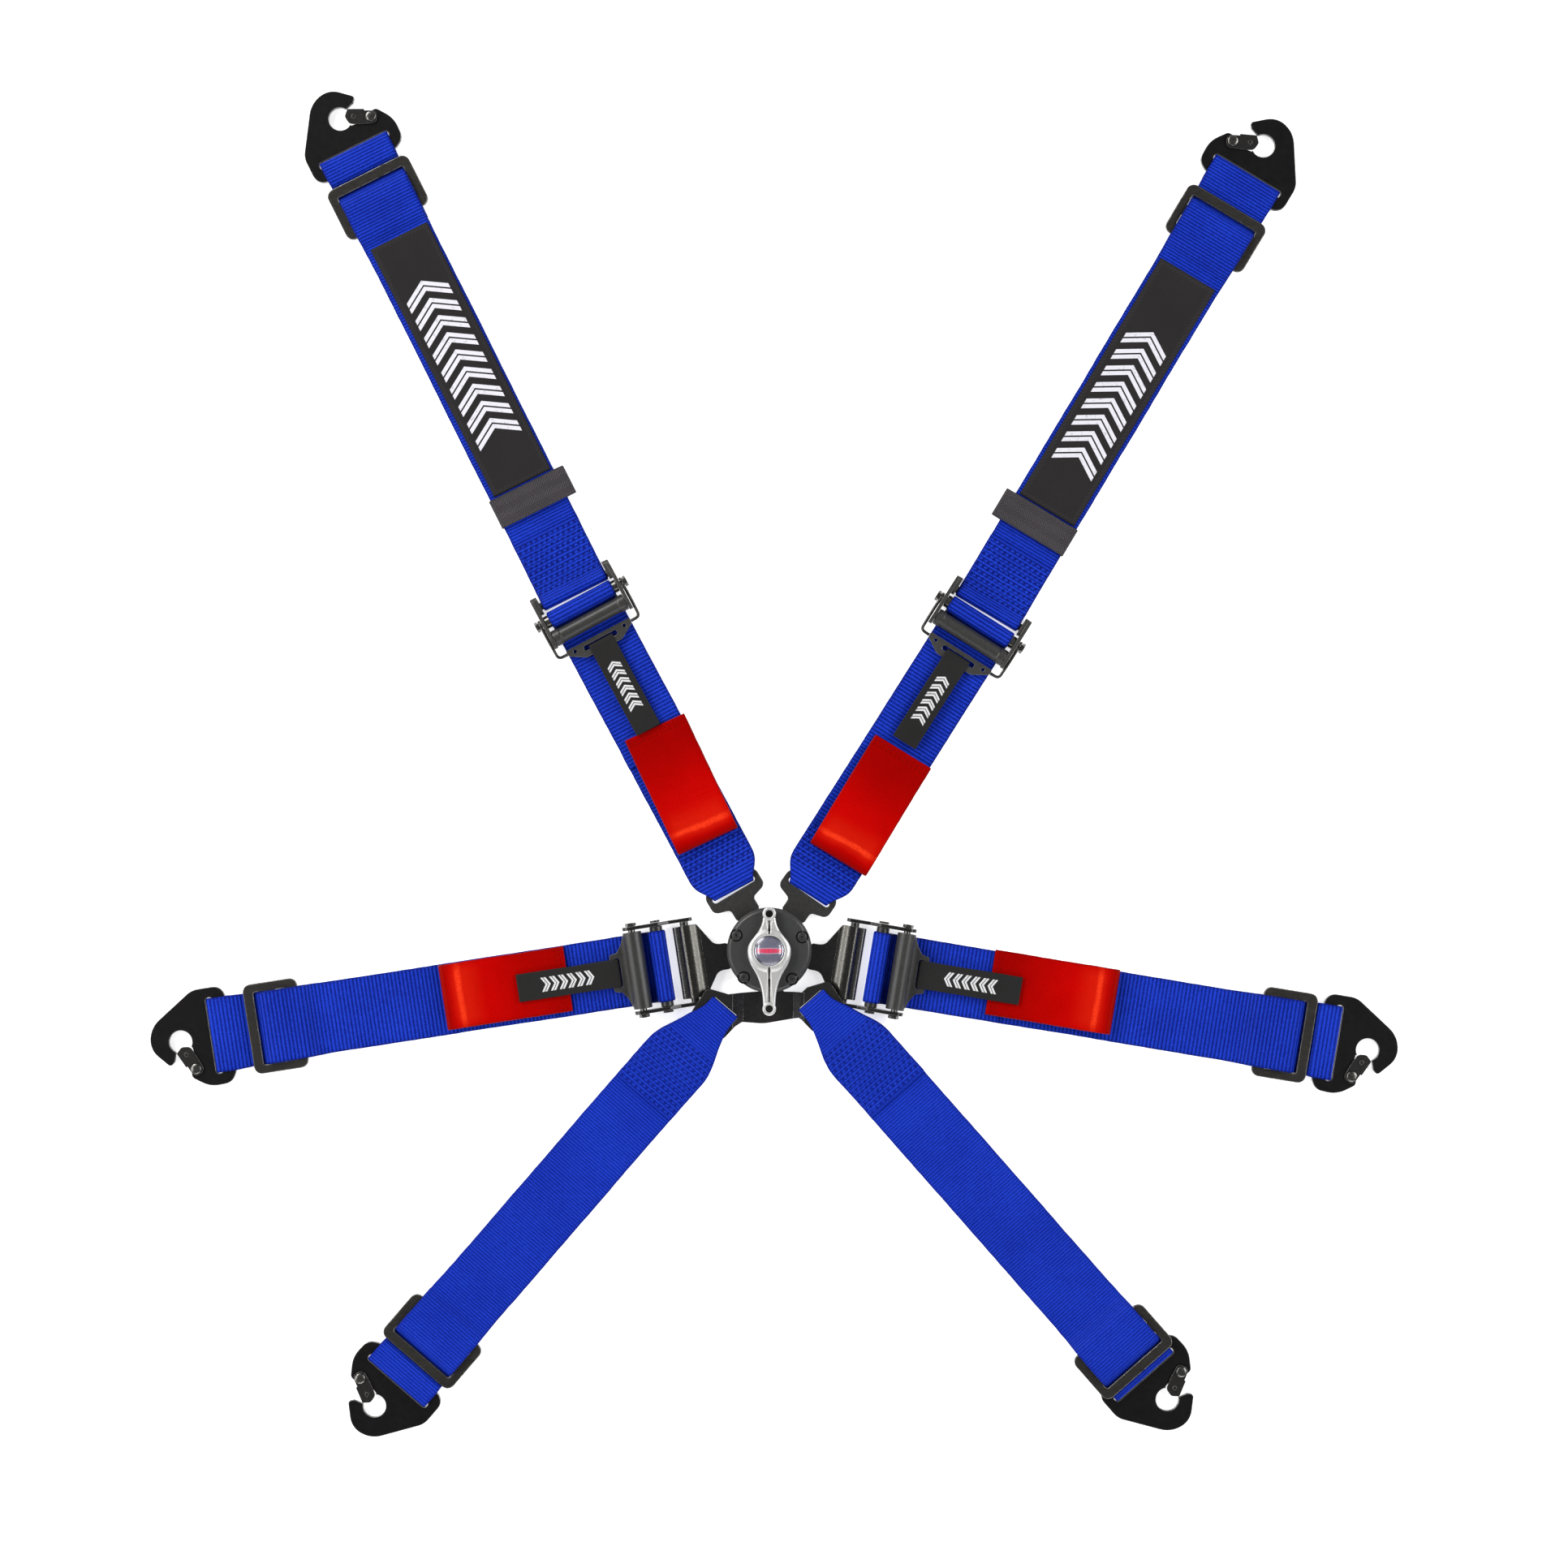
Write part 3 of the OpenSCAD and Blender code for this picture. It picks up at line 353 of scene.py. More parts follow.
# edge colours: partly rubbed wear, partly painted highlight where the edges catch the light; the two lighter edge
# materials go on the bevel faces
WEAR_AND_HIGHLIGHT, WEAR_AND_HIGHLIGHT_DIM = (0.42, 0.41, 0.39), (0.16, 0.155, 0.15)
edge_bright = coated("worn_and_highlit_edge", (0.16, 0.155, 0.15), (0.44, 0.43, 0.41), 0.34, 0.9, 0.5, 500)
edge_dim = coated("soft_edge", (0.035, 0.034, 0.033), (0.15, 0.145, 0.14), 0.36, 0.75, 0.5, 400)
hook_mat = coated("hook_black", (0.0018, 0.0016, 0.0017), (0.0070, 0.0062, 0.0062), 0.44, 0.0, 0.13, 300, wear_and_highlight=WEAR_AND_HIGHLIGHT, width=0.5)
gate_mat = coated("gate_black", (0.005, 0.0046, 0.0046), (0.020, 0.0185, 0.0175), 0.36, 0.1, 0.32, 500, wear_and_highlight=WEAR_AND_HIGHLIGHT, width=0.35)
slide_mat = coated("slide_black", (0.007, 0.0064, 0.0056), (0.036, 0.033, 0.028), 0.38, 0.3, 0.4, 220, streak=(1, 3, 1), wear_and_highlight=(0.62, 0.60, 0.57), width=0.7)
dark_steel = coated("dark_steel", (0.035, 0.034, 0.032), (0.24, 0.235, 0.22), 0.26, 1.0, 0.5, 500)
steel_mat = coated("bright_steel", (0.42, 0.40, 0.37), (0.85, 0.83, 0.78), 0.22, 1.0, 0.5, 500)
cover_mat = coated("buckle_satin", (0.022, 0.022, 0.022), (0.042, 0.042, 0.042), 0.50, 0.0, 0.35, 700)
screw_mat = coated("screw_black", (0.010, 0.010, 0.010), (0.030, 0.030, 0.030), 0.40, 0.0, 0.4, 600)
tongue_mat = coated("tongue_satin", (0.010, 0.0095, 0.009), (0.050, 0.048, 0.046), 0.38, 0.2, 0.45, 420, wear_and_highlight=WEAR_AND_HIGHLIGHT_DIM, width=0.5)
gloss_mat = coated("crossbar_gloss", (0.003, 0.0028, 0.0026), (0.014, 0.013, 0.012), 0.26, 0.35, 0.6, 420, coat=0.35, wear_and_highlight=WEAR_AND_HIGHLIGHT_DIM, width=0.4)
roll_mat = coated("rolled_sheet", (0.058, 0.056, 0.050), (0.105, 0.101, 0.092), 0.27, 1.0, 0.6, 300, streak=(3, 1, 1), coat=0.06, wear_and_highlight=WEAR_AND_HIGHLIGHT_DIM, width=0.4)
plate_mat = coated("crotch_plate_black", (0.005, 0.0046, 0.0043), (0.016, 0.0148, 0.0138), 0.26, 0.1, 0.5, 420, coat=0.25, wear_and_highlight=WEAR_AND_HIGHLIGHT_DIM, width=0.6)
frame_mat = coated("adjuster_black", (0.012, 0.0115, 0.011), (0.054, 0.052, 0.048), 0.42, 0.15, 0.4, 700, bump=0.00006, wear_and_highlight=WEAR_AND_HIGHLIGHT_DIM, width=0.4)
roller_mat = coated("roller_satin", (0.018, 0.018, 0.017), (0.050, 0.049, 0.047), 0.38, 0.25, 0.5, 500)
bar_mat = coated("slide_bar", (0.010, 0.010, 0.010), (0.045, 0.045, 0.043), 0.30, 0.4, 0.5, 400)
bail_mat = coated("bail_wire", (0.018, 0.018, 0.018), (0.10, 0.098, 0.092), 0.24, 0.75, 0.5, 400)
tilt_mat = coated("tilt_plate", (0.022, 0.022, 0.021), (0.080, 0.078, 0.074), 0.38, 0.4, 0.45, 600, wear_and_highlight=WEAR_AND_HIGHLIGHT, width=0.35)
inner_mat = coated("inner_steel", (0.30, 0.30, 0.30), (0.65, 0.65, 0.63), 0.34, 1.0, 0.5, 400)


def lever_metal():
    g = G("lever_aluminium")
    streak = g.noise(1000, 3, 0.6, stretch=(1, 0.05, 1))
    big = g.noise(60, 3, 0.5)
    tone = g.math("ADD", g.math("MULTIPLY", streak, 0.7), g.math("MULTIPLY", big, 0.3), clamp=True)
    col = g.mix(tone, (0.47, 0.465, 0.45), (0.74, 0.735, 0.72))
    # painted shade: darker grey in the dips beside the cut and in the eyes, near-black on the cut's floor
    col = g.mix(g.attr("valley"), col, (0.25, 0.245, 0.235))
    col = g.mix(g.attr("groove"), col, (0.006, 0.006, 0.006))
    g.bump(streak, 0.00003, 0.5)
    return g.set(Base_Color=col, Metallic=0.55, Roughness=g.math("MULTIPLY_ADD", streak, 0.2, 0.27), Specular_IOR_Level=0.6)


lever_mat = lever_metal()


def badge_resin():
    g = G("badge_resin")
    s = g.n("ShaderNodeSeparateXYZ", {0: g.obj()})
    x, y = s.outputs[0], s.outputs[1]
    ax = g.math("ABSOLUTE", x)
    r = g.math("SQRT", g.math("ADD", g.math("MULTIPLY", x, x), g.math("MULTIPLY", y, y)))
    tip = g.math("MULTIPLY_ADD", ax, -0.05, 0.00165)
    ay = g.math("ABSOLUTE", y)
    bar = g.math("MULTIPLY", g.range(g.math("SUBTRACT", ay, tip), 0.0003, -0.0003), g.range(ax, 0.0089, 0.0084))
    rim = g.math("MULTIPLY", g.range(g.math("SUBTRACT", ay, tip), 0.0009, 0.0003), g.range(ax, 0.0094, 0.0089))
    notch = g.math("MULTIPLY", g.range(g.wave(x, 0.0029), 0.86, 0.95), bar)
    fine = g.noise(500, 3, 0.6)
    base = g.mix(fine, (0.082, 0.084, 0.122), (0.145, 0.145, 0.195))
    base = g.mix(g.range(r, 0.0085, 0.0097), base, (0.055, 0.055, 0.10))
    col = g.mix(rim, base, (0.34, 0.27, 0.36))
    col = g.mix(bar, col, (0.62, 0.035, 0.085))
    col = g.mix(notch, col, (0.30, 0.06, 0.13))
    g.bump(g.noise(140, 2, 0.5), 0.00006, 0.4)
    return g.set(Base_Color=col, Roughness=0.25, Coat_Weight=0.9, Coat_Roughness=0.04)


badge_mat = badge_resin()


def floor_mat():
    g = G("floor_white")
    n = g.noise(3, 3, 0.5)
    g.bump(g.noise(120, 2, 0.5), 0.0002, 0.1)
    return g.set(Base_Color=g.mix(n, (0.90, 0.90, 0.90), (0.94, 0.94, 0.94)), Roughness=0.9, Specular_IOR_Level=0.05,
                 Emission_Color=(1.0, 1.0, 1.0), Emission_Strength=0.62)


me = bpy.data.meshes.new("floor")
F = 6.0
me.from_pydata([(-F, -F, -0.0004), (F, -F, -0.0004), (F, F, -0.0004), (-F, F, -0.0004)], [], [(0, 1, 2, 3)])
me.materials.append(floor_mat())
floor = bpy.data.objects.new("floor", me)
scene.collection.objects.link(floor)


# ------------------------------------------------------------------ CAD nodes: edges and finishes
def finish_node(name, mat, edge=None, width=0.3, limit=32, seg=2):
    """Materials for a CAD node; with a width, its edges are rounded too."""
    o = nodes[name]
    me = o.data
    me.materials.clear()
    me.materials.append(mat)
    me.materials.append(edge or mat)
    for p in me.polygons:
        p.material_index = 0
    if not width:
        return o
    for q in ("custom_normal", "sharp_edge", "sharp_face"):
        a = me.attributes.get(q)
        if a:
            me.attributes.remove(a)
    w = o.modifiers.new("weld", "WELD")
    w.merge_threshold = 0.000004
    d = o.modifiers.new("planar", "DECIMATE")
    d.decimate_type = "DISSOLVE"
    d.angle_limit = math.radians(0.4)
    b = o.modifiers.new("edges", "BEVEL")
    b.width = width * MM
    b.segments = seg
    b.limit_method = "ANGLE"
    b.angle_limit = math.radians(limit)
    b.use_clamp_overlap = False
    # the bevel faces take the second, lighter material: painted edge highlight, partly wear
    b.material = 1
    n = o.modifiers.new("normals", "WEIGHTED_NORMAL")
    n.weight = 60
    me.shade_smooth()
    return o


for n in nodes:
    if n.startswith("hook_"):
        finish_node(n, hook_mat, edge_bright, 0.32)
    elif n.startswith("gate_") and n != "gate_rivets":
        finish_node(n, gate_mat, edge_dim, 0.18)
    elif n.startswith("slides_"):
        finish_node(n, slide_mat, slide_mat, 0.5, seg=3)
    elif n in ("gate_rivets", "adjuster_bolts", "lap_axles"):
        finish_node(n, dark_steel, dark_steel, 0.22)
    elif n == "buckle_cover":
        finish_node(n, cover_mat, edge_dim, 0.22, limit=20)
    elif n == "buckle_base":
        finish_node(n, cover_mat, edge_dim, 0.2)
    elif n == "buckle_guide_plate":
        finish_node(n, inner_mat, inner_mat, 0.1)
    elif n == "cover_screws":
        finish_node(n, screw_mat, edge_dim, 0.12)
    elif n in ("lock_pins", "pin_springs", "cam_spindle"):
        finish_node(n, inner_mat, inner_mat, 0.1)
    elif n == "release_lever":
        finish_node(n, lever_mat, lever_mat, 0)
    elif n == "lever_badge":
        finish_node(n, badge_mat, badge_mat, 0.15)
    elif n.startswith("tongue_shoulder"):
        finish_node(n, tongue_mat, edge_dim, 0.45, seg=3)
    elif n.startswith("tongue_lap"):
        finish_node(n, gloss_mat, edge_dim, 0.35)
    elif n == "crotch_plate":
        finish_node(n, plate_mat, plate_mat, 0)
    elif n.startswith("adjuster_frame"):
        finish_node(n, frame_mat, edge_dim, 0.2)
    elif n == "adjuster_rollers":
        finish_node(n, roller_mat, edge_dim, 0.5, seg=3)
    elif n.startswith("bail_"):
        finish_node(n, bail_mat, bail_mat, 0)
    elif n.startswith("tilt_plate"):
        finish_node(n, tilt_mat, tilt_mat, 0)
    elif n.startswith("lap_tilt"):
        finish_node(n, roller_mat, edge_dim, 0.3)
    elif n == "lap_slide_bars":
        finish_node(n, bar_mat, edge_dim, 0.4)


# ------------------------------------------------------------------ cloth meshes
def cut(pts, rounds=3):
    """Rounds a polyline's corners off."""
    p = np.array(pts, float)
    for _ in range(rounds):
        a, b = p[:-1], p[1:]
        q = np.empty((2 * len(a), 2))
        q[0::2], q[1::2] = a * 0.75 + b * 0.25, a * 0.25 + b * 0.75
        p = np.vstack([p[:1], q, p[-1:]])
    return p


def resample(p, step):
    d = np.hypot(*np.diff(p, axis=0).T)
    s = np.concatenate([[0], np.cumsum(d)])
    n = max(4, int(round(s[-1] / step)))
    t = np.linspace(0, s[-1], n + 1)
    return np.column_stack([np.interp(t, s, p[:, 0]), np.interp(t, s, p[:, 1])]), t


def arc(cx, cz, r, a, b, n=14):
    return [(cx + r * math.cos(math.radians(a + (b - a) * i / n)), cz + r * math.sin(math.radians(a + (b - a) * i / n)))
            for i in range(n + 1)]


COLS = np.array([-1, -0.978, -0.935, -0.86, -0.7, -0.5, -0.25, 0, 0.25, 0.5, 0.7, 0.86, 0.935, 0.978, 1])
MULT = np.array([0.25, 0.82, 1.1, 1, 1, 1, 1, 1, 1, 1, 1, 1, 1.1, 0.82, 0.25])


def strip(name, path, half, t, place, mat, replaced, body, step=0.65, pitch=None, amp=0.0, zones=(), bend=None,
          lift=None, closed=False, seed=0, ease=0.0):
    """A band of cloth along path (along, up) in mm. half(x) gives its low and high edge across at x; place puts it in
    the row frame. zones are (x0, x1, z0) where it is sewn through."""
    p, s = resample(cut(path), step)
    if closed:
        p[-1] = p[0]
    tan = np.gradient(p, axis=0)
    if closed:
        tan[0] = tan[-1] = (p[1] - p[-2])
    tan /= np.hypot(*tan.T)[:, None]
    nor = np.column_stack([-tan[:, 1], tan[:, 0]])
    rows, cols = len(p), len(COLS)
    lo, hi = np.array([half(x) for x in p[:, 0]], float).T
    if ease:
        k = np.exp(-0.5 * (np.arange(-24, 25) * step / ease) ** 2)
        k /= k.sum()
        lo, hi = (np.convolve(np.pad(q, 24, mode="edge"), k, "valid") for q in (lo, hi))
    mid, hw = (lo + hi) / 2, (hi - lo) / 2
    wob = np.array([noise.noise(Vector((x * 0.02, seed * 7.7, 0.3))) for x in s]) * 0.35
    edge = np.array([noise.noise(Vector((x * 0.16, seed * 3.1, 5.3))) for x in s]) * 0.16
    y = (mid + wob)[:, None] + (hw + edge)[:, None] * COLS[None, :]
    rib = np.cos(2 * np.pi * s / pitch) * amp if pitch else np.zeros(rows)
    off = t / 2 * MULT[None, :] + rib[:, None] * np.clip(MULT, 0, 1)[None, :]
    zl = np.zeros((rows, cols))
    if lift is not None:
        zl = lift(p[:, 0][:, None], y, p[:, 1][:, None])
    top = np.stack([p[:, 0][:, None] + nor[:, 0][:, None] * off, y, p[:, 1][:, None] + nor[:, 1][:, None] * off + zl], -1)
    bot = np.stack([p[:, 0][:, None] - nor[:, 0][:, None] * off, y, p[:, 1][:, None] - nor[:, 1][:, None] * off + zl], -1)
    bot[..., 2] = np.maximum(bot[..., 2], 0.0)
    loop = np.concatenate([top, bot[:, ::-1]], 1)          # rows x 2cols x 3
    C = 2 * cols
    co = place(loop.reshape(-1, 3)) * MM
    n_rows = rows - 1 if closed else rows
    if closed:
        co = co[: n_rows * C]
    i = np.arange(rows - 1)[:, None]
    j = np.arange(C)[None, :]
    nxt = (i + 1) % n_rows if closed else i + 1
    f = np.stack([i * C + j, i * C + (j + 1) % C, nxt * C + (j + 1) % C, nxt * C + j], -1).reshape(-1, 4)
    # caps
    caps = []
    if not closed:
        for r, flip in ((0, False), (rows - 1, True)):
            for k in range(cols - 1):
                q = [r * C + k, r * C + k + 1, r * C + C - 2 - k, r * C + C - 1 - k]
                caps.append(q[::-1] if not flip else q)
    faces = [tuple(int(a) for a in q) for q in np.vstack([f, np.array(caps)]) ] if caps else [tuple(int(a) for a in q) for q in f]
    me = bpy.data.meshes.new(name)
    me.from_pydata(co.tolist(), [], faces)
    across = np.concatenate([y, y[:, ::-1]], 1)
    ul = (across - mid[:, None]).reshape(-1) * MM
    vl = np.repeat(s * MM, C)
    uv = me.uv_layers.new(name="cloth")
    li = np.zeros(len(me.loops), np.int32)
    me.loops.foreach_get("vertex_index", li)
    flat = np.column_stack([ul[li % len(ul)], vl[li]])
    if closed:      # the last row of faces meets the first row's points
        seam = np.arange(len(me.loops)) // 4 >= (rows - 2) * C
        low = seam & (vl[li] < s[-1] * MM / 2)
        flat[low, 1] += s[-1] * MM
    uv.data.foreach_set("uv", flat.astype(np.float32).ravel())
    n_v = len(me.vertices)
    rim = np.tile(np.concatenate([np.clip((np.abs(COLS) - 0.93) / 0.06, 0, 1)] * 2), n_rows)[:n_v]
    a = me.attributes.new("rim", "FLOAT", "POINT")
    a.data.foreach_set("value", rim.astype(np.float32))
    st = np.zeros((rows, C))
    for x0, x1, z0 in zones:
        inside = (p[:, 0] > min(x0, x1)) & (p[:, 0] < max(x0, x1)) & (p[:, 1] >= z0)
        st[inside, 2:cols - 2] = 1
        st[inside, cols + 2:C - 2] = 1
    a = me.attributes.new("stitch", "FLOAT", "POINT")
    a.data.foreach_set("value", st.reshape(-1)[:n_v].astype(np.float32))
    me.materials.append(mat)
    me.shade_smooth()
    me.validate()
    bm = bmesh.new()
    bm.from_mesh(me)
    bmesh.ops.recalc_face_normals(bm, faces=bm.faces)
    bm.to_mesh(me)
    bm.free()
    o = bpy.data.objects.new(name, me)
    scene.collection.objects.link(o)
    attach(o, body)
    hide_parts(*replaced)
    return o, float(s[-1])


def at(p, a, z=0.0, turn=0.0, shift=(0.0, 0.0)):
    """Strap frame to the row frame, in mm. A local turn and shift come first."""
    c, s = math.cos(math.radians(a)), math.sin(math.radians(a))
    ct, st = math.cos(math.radians(turn)), math.sin(math.radians(turn))

    def f(v):
        x, y = v[:, 0] * ct - v[:, 1] * st + shift[0], v[:, 0] * st + v[:, 1] * ct + shift[1]
        return np.column_stack([p[0] + x * c - y * s, p[1] + x * s + y * c, v[:, 2] + z])
    return f


def polar(r, a):
    return (r * math.cos(math.radians(a)), r * math.sin(math.radians(a)))


# The straps' lines, as in the CAD model
A_TL, A_TR = 120.8, 55.3
SL0, SR0 = polar(47, A_TL), polar(47, A_TR)
SL1, SR1 = (-132, 242.5), (148, 230)
A_SL, A_SR, A_LL, A_LR, A_CL, A_CR = 116.6, 59.1, 188.8, -9.4, 229.1, -48.7
CL0, CR0 = (-40, -48), (41, -46)
LOW_AL = math.degrees(math.atan2(SL1[1] - SL0[1], SL1[0] - SL0[0]))
LOW_AR = math.degrees(math.atan2(SR1[1] - SR0[1], SR1[0] - SR0[0]))
LOW_L, LOW_R = math.dist(SL0, SL1), math.dist(SR0, SR1)
FOLD_L, FOLD_R = -12, -16
LAP_BAR, LAP_AX = 76.5, 93.5
SH_L, SH_R = (319.6, 359.5, 3.5), (322.4, 368, 3.5)
LP_L, LP_R = (351, 397.3, 3.5), (367, 404.8, 3.5)
CR_L, CR_R = (300.6, 340.1, 3.5), (314.1, 339, 6.9)
LO, BZ, BR = 0.78, 7.2, 4.5


def strap_end(k):
    s, h, z = k
    far = h - s > 34
    return ([(s - 42, 1.3), (s - 29.4, 1.5), (s - 21.8, z + 4), (s - 13, z + 4.1), (s - 6, z + 5.7), (s + 3.4, z + 5.7),
             (s + 7.4, z + 4.6), (s + 9.7, z + 1.4), (s + 10.5, z - 0.2), (s + 11.9, z - 1.02)]
            + ([(s + 19.9, z - 1.02), (h - 16.2, 5.8)] if far else [(s + 13.4, z - 1.02)])
            + [(h - 4.4, 5.8), (h - 1.9, 5.5), (h - 1.0, 4.5), (h - 1.0, 2.5), (h - 2.1, 1.35), (h - 5, 0.98)]
            + ([(h - 15, 0.9), (s + 20.4, LO)] if far else [])
            + [(s + 10.2, LO), (s + 5.4, 1.6), (s + 4.2, 3.2), (s + 4.2, z + 3.2), (s + 3.4, z + 4),
               (s - 3.4, z + 4), (s - 4.2, z + 3.2), (s - 4.3, 3.6), (s - 5.5, 1.7), (s - 9, 0.85), (s - 27, 0.85)])


def lerp(x, pts):
    return float(np.interp(x, [q[0] for q in pts], [q[1] for q in pts]))


def spread(x, k):
    """How far the folded layers stand out past the straight strap at the slide and at the hook."""
    s, h, z = k
    return lerp(x, [(s - 44, 0.0), (s - 20, 0.5), (s + 14, 0.55), (h - 13, 1.35)])


def full(k):
    return lambda x: (-25 - spread(x, k), 25 + spread(x, k))


def pinched(x):
    h = lerp(x, [(0, 15.2), (2.6, 15.6), (4.2, 16.3), (7, 18.6), (12, 22.6), (17, 24.8), (21, 25)])
    return (-h, h)


def crotch_half(f, m, k):
    lo = [(f, -9.9), (f + 9, -10.0), (f + 19, -14.5), (f + 30, -18.2), (f + 40, -22.6), (f + 49, -25)]
    hi = [(f, 12.9), (f + 9, 13.0), (f + 14, 13.7), (f + 26, 17.7), (f + 37, 22.4), (f + 47, 25)]

    def h(x):
        a, b = lerp(x, lo) - spread(x, k), lerp(x, hi) + spread(x, k)
        return (a, b) if m > 0 else (-b, -a)
    return h


T = 1.36
for side, p0, a, l, node, fx in (("l", SL0, LOW_AL, LOW_L, "strap_shoulder_lower_l", 5.2), ("r", SR0, LOW_AR, LOW_R, "strap_shoulder_lower_r", 4.3)):
    path = ([(46, 2.45), (27, 2.55), (13.4, 7.9)] + arc(fx, 5, 3.5, 80, 285, 12)
            + [(14, LO + 0.15), (20, LO), (l - 8, LO), (l - 4, LO + 0.2)] + arc(l, BZ, BR + 0.95, -80, 185, 18)
            + [(l - 6.2, 4.4), (l - 8.8, 2.75), (l - 12, 2.5), (l - 118, 2.5)])
    o, length = strip("webbing_shoulder_lower_" + side, path, pinched, T, at(p0, a), blue_low, [node], "root",
                      pitch=2.6, amp=0.11, zones=[(14, 45, 2.2)], seed=1 if side == "l" else 2, ease=2.6)

for side, p0, a, k, node in (("l", SL1, A_SL, SH_L, "strap_shoulder_upper_l"), ("r", SR1, A_SR, SH_R, "strap_shoulder_upper_r")):
    path = ([(57, 2.4), (11.4 + 3.45 + 7, 2.4)] + arc(11.4, 5, 3.45, 60, 300, 14) + [(11.4 + 3.45 + 6, LO), (58, LO), (63.5, 1.5), (k[0] - 52, 1.5)]
            + strap_end(k))
    o, length = strip("webbing_shoulder_upper_" + side, path, full(k), T, at(p0, a), blue_up, [node], "root",
                      step=0.6, pitch=2.2, amp=0.09, zones=[(17, 56, 2.2)], seed=3 if side == "l" else 4)

for side, a, k, tail, node in (("l", A_LL, LP_L, 152, "strap_lap_l"), ("r", A_LR, LP_R, 167, "strap_lap_r")):
    path = ([(tail, 2.5), (LAP_BAR + 12, 2.5), (LAP_BAR + 8.8, 2.75), (LAP_BAR + 6.2, 4.4)] + arc(LAP_BAR, BZ, BR + 0.95, -5, 260, 18)
            + [(LAP_BAR + 5, LO), (LAP_BAR + 12, LO)] + strap_end(k))
    o, length = strip("webbing_lap_" + side, path, full(k), T, at((0, 0), a), blue_lap, [node], "root",
                      pitch=2.7, amp=0.12, seed=5 if side == "l" else 6)


def ripple(x, y, z):
    free = np.clip((x - 70) / 30, 0, 1) * np.clip((255 - x) / 30, 0, 1) * (z < 1.6)
    return free * 0.35 * (1 + np.sin(x / 17.0 + y / 40.0)) * (0.6 + 0.4 * np.cos(x / 41.0))


for side, p0, a, k, f, m, node in (("l", CL0, A_CL, CR_L, FOLD_L, 1, "strap_crotch_l"), ("r", CR0, A_CR, CR_R, FOLD_R, -1, "strap_crotch_r")):
    path = ([(74, 2.45), (62, 2.5), (f + 32, 13), (f + 19, 13.85)] + arc(f + 2.9, 11.3, 2.7, 90, 270, 8)
            + [(f + 31, 8.75), (52, LO + 0.1), (58, LO)] + strap_end(k))
    o, length = strip("webbing_crotch_" + side, path, crotch_half(f, m, k), T, at(p0, a), blue_cr, [node], "root",
                      step=0.525, pitch=2.1, amp=0.08, zones=[(f + 36, 73, 2.2)], lift=ripple, seed=7 if side == "l" else 8, ease=3.0)

# Red pull loops: the fold is at the far end, the cut end is sewn under the tab
LL = 90.0


def loop(name, place, node, seed, crown):
    path = ([(-LL / 2, 0.62), (LL / 2 - 8, 0.62)] + arc(LL / 2 - 3.9, 2.75, 2.35, -80, 88, 10)
            + [(LL / 2 - 12, 5.3 + crown), (LL / 2 - 24, 4.3 + crown), (LL / 2 - 40, 2.4), (-4, 1.85), (-LL / 2, 1.8)])
    o, length = strip(name, path, lambda x: (-23, 23), 0.95, place, red_mat, [node], "root", step=0.8,
                      pitch=1.1 * 4, amp=0.02, zones=[(-LL / 2 + 1, -LL / 2 + 7, 1.2)], seed=seed,
                      lift=lambda x, y, z: np.clip(z - 1.2, 0, 3) * 0.10 * np.cos(y / 11.0 + seed) + 0 * x)
    return o


def turned(p0, a, x0, y, turn):
    """As the CAD loops on the shoulders lie: turned end for end in the strap's frame."""
    base = at(p0, a)
    c, s = math.cos(math.radians(turn)), math.sin(math.radians(turn))

    def f(v):
        x, yy = v[:, 0] * c - v[:, 1] * s + x0 + LL / 2, v[:, 0] * s + v[:, 1] * c + y
        return base(np.column_stack([-x, -yy, v[:, 2] + 3.35]))
    return f


def straight(a, x0, y, turn=0):
    base = at((0, 0), a)

    def f(v):
        return base(np.column_stack([v[:, 0] + x0 + LL / 2, v[:, 1] + y, v[:, 2] + 3.35]))
    return f


loop("pull_loop_shoulder_l", turned(SL0, LOW_AL, -129, 2.3, -3), "pull_loops_shoulder", 11, 0.3)
loop("pull_loop_shoulder_r", turned(SR0, LOW_AR, -121, 4, 1), "pull_loops_shoulder", 12, 0.7)
loop("pull_loop_lap_l", straight(A_LL, 143, -1.5), "pull_loops_lap", 13, 0.2)
loop("pull_loop_lap_r", straight(A_LR, 157, 3), "pull_loops_lap", 14, 0.4)


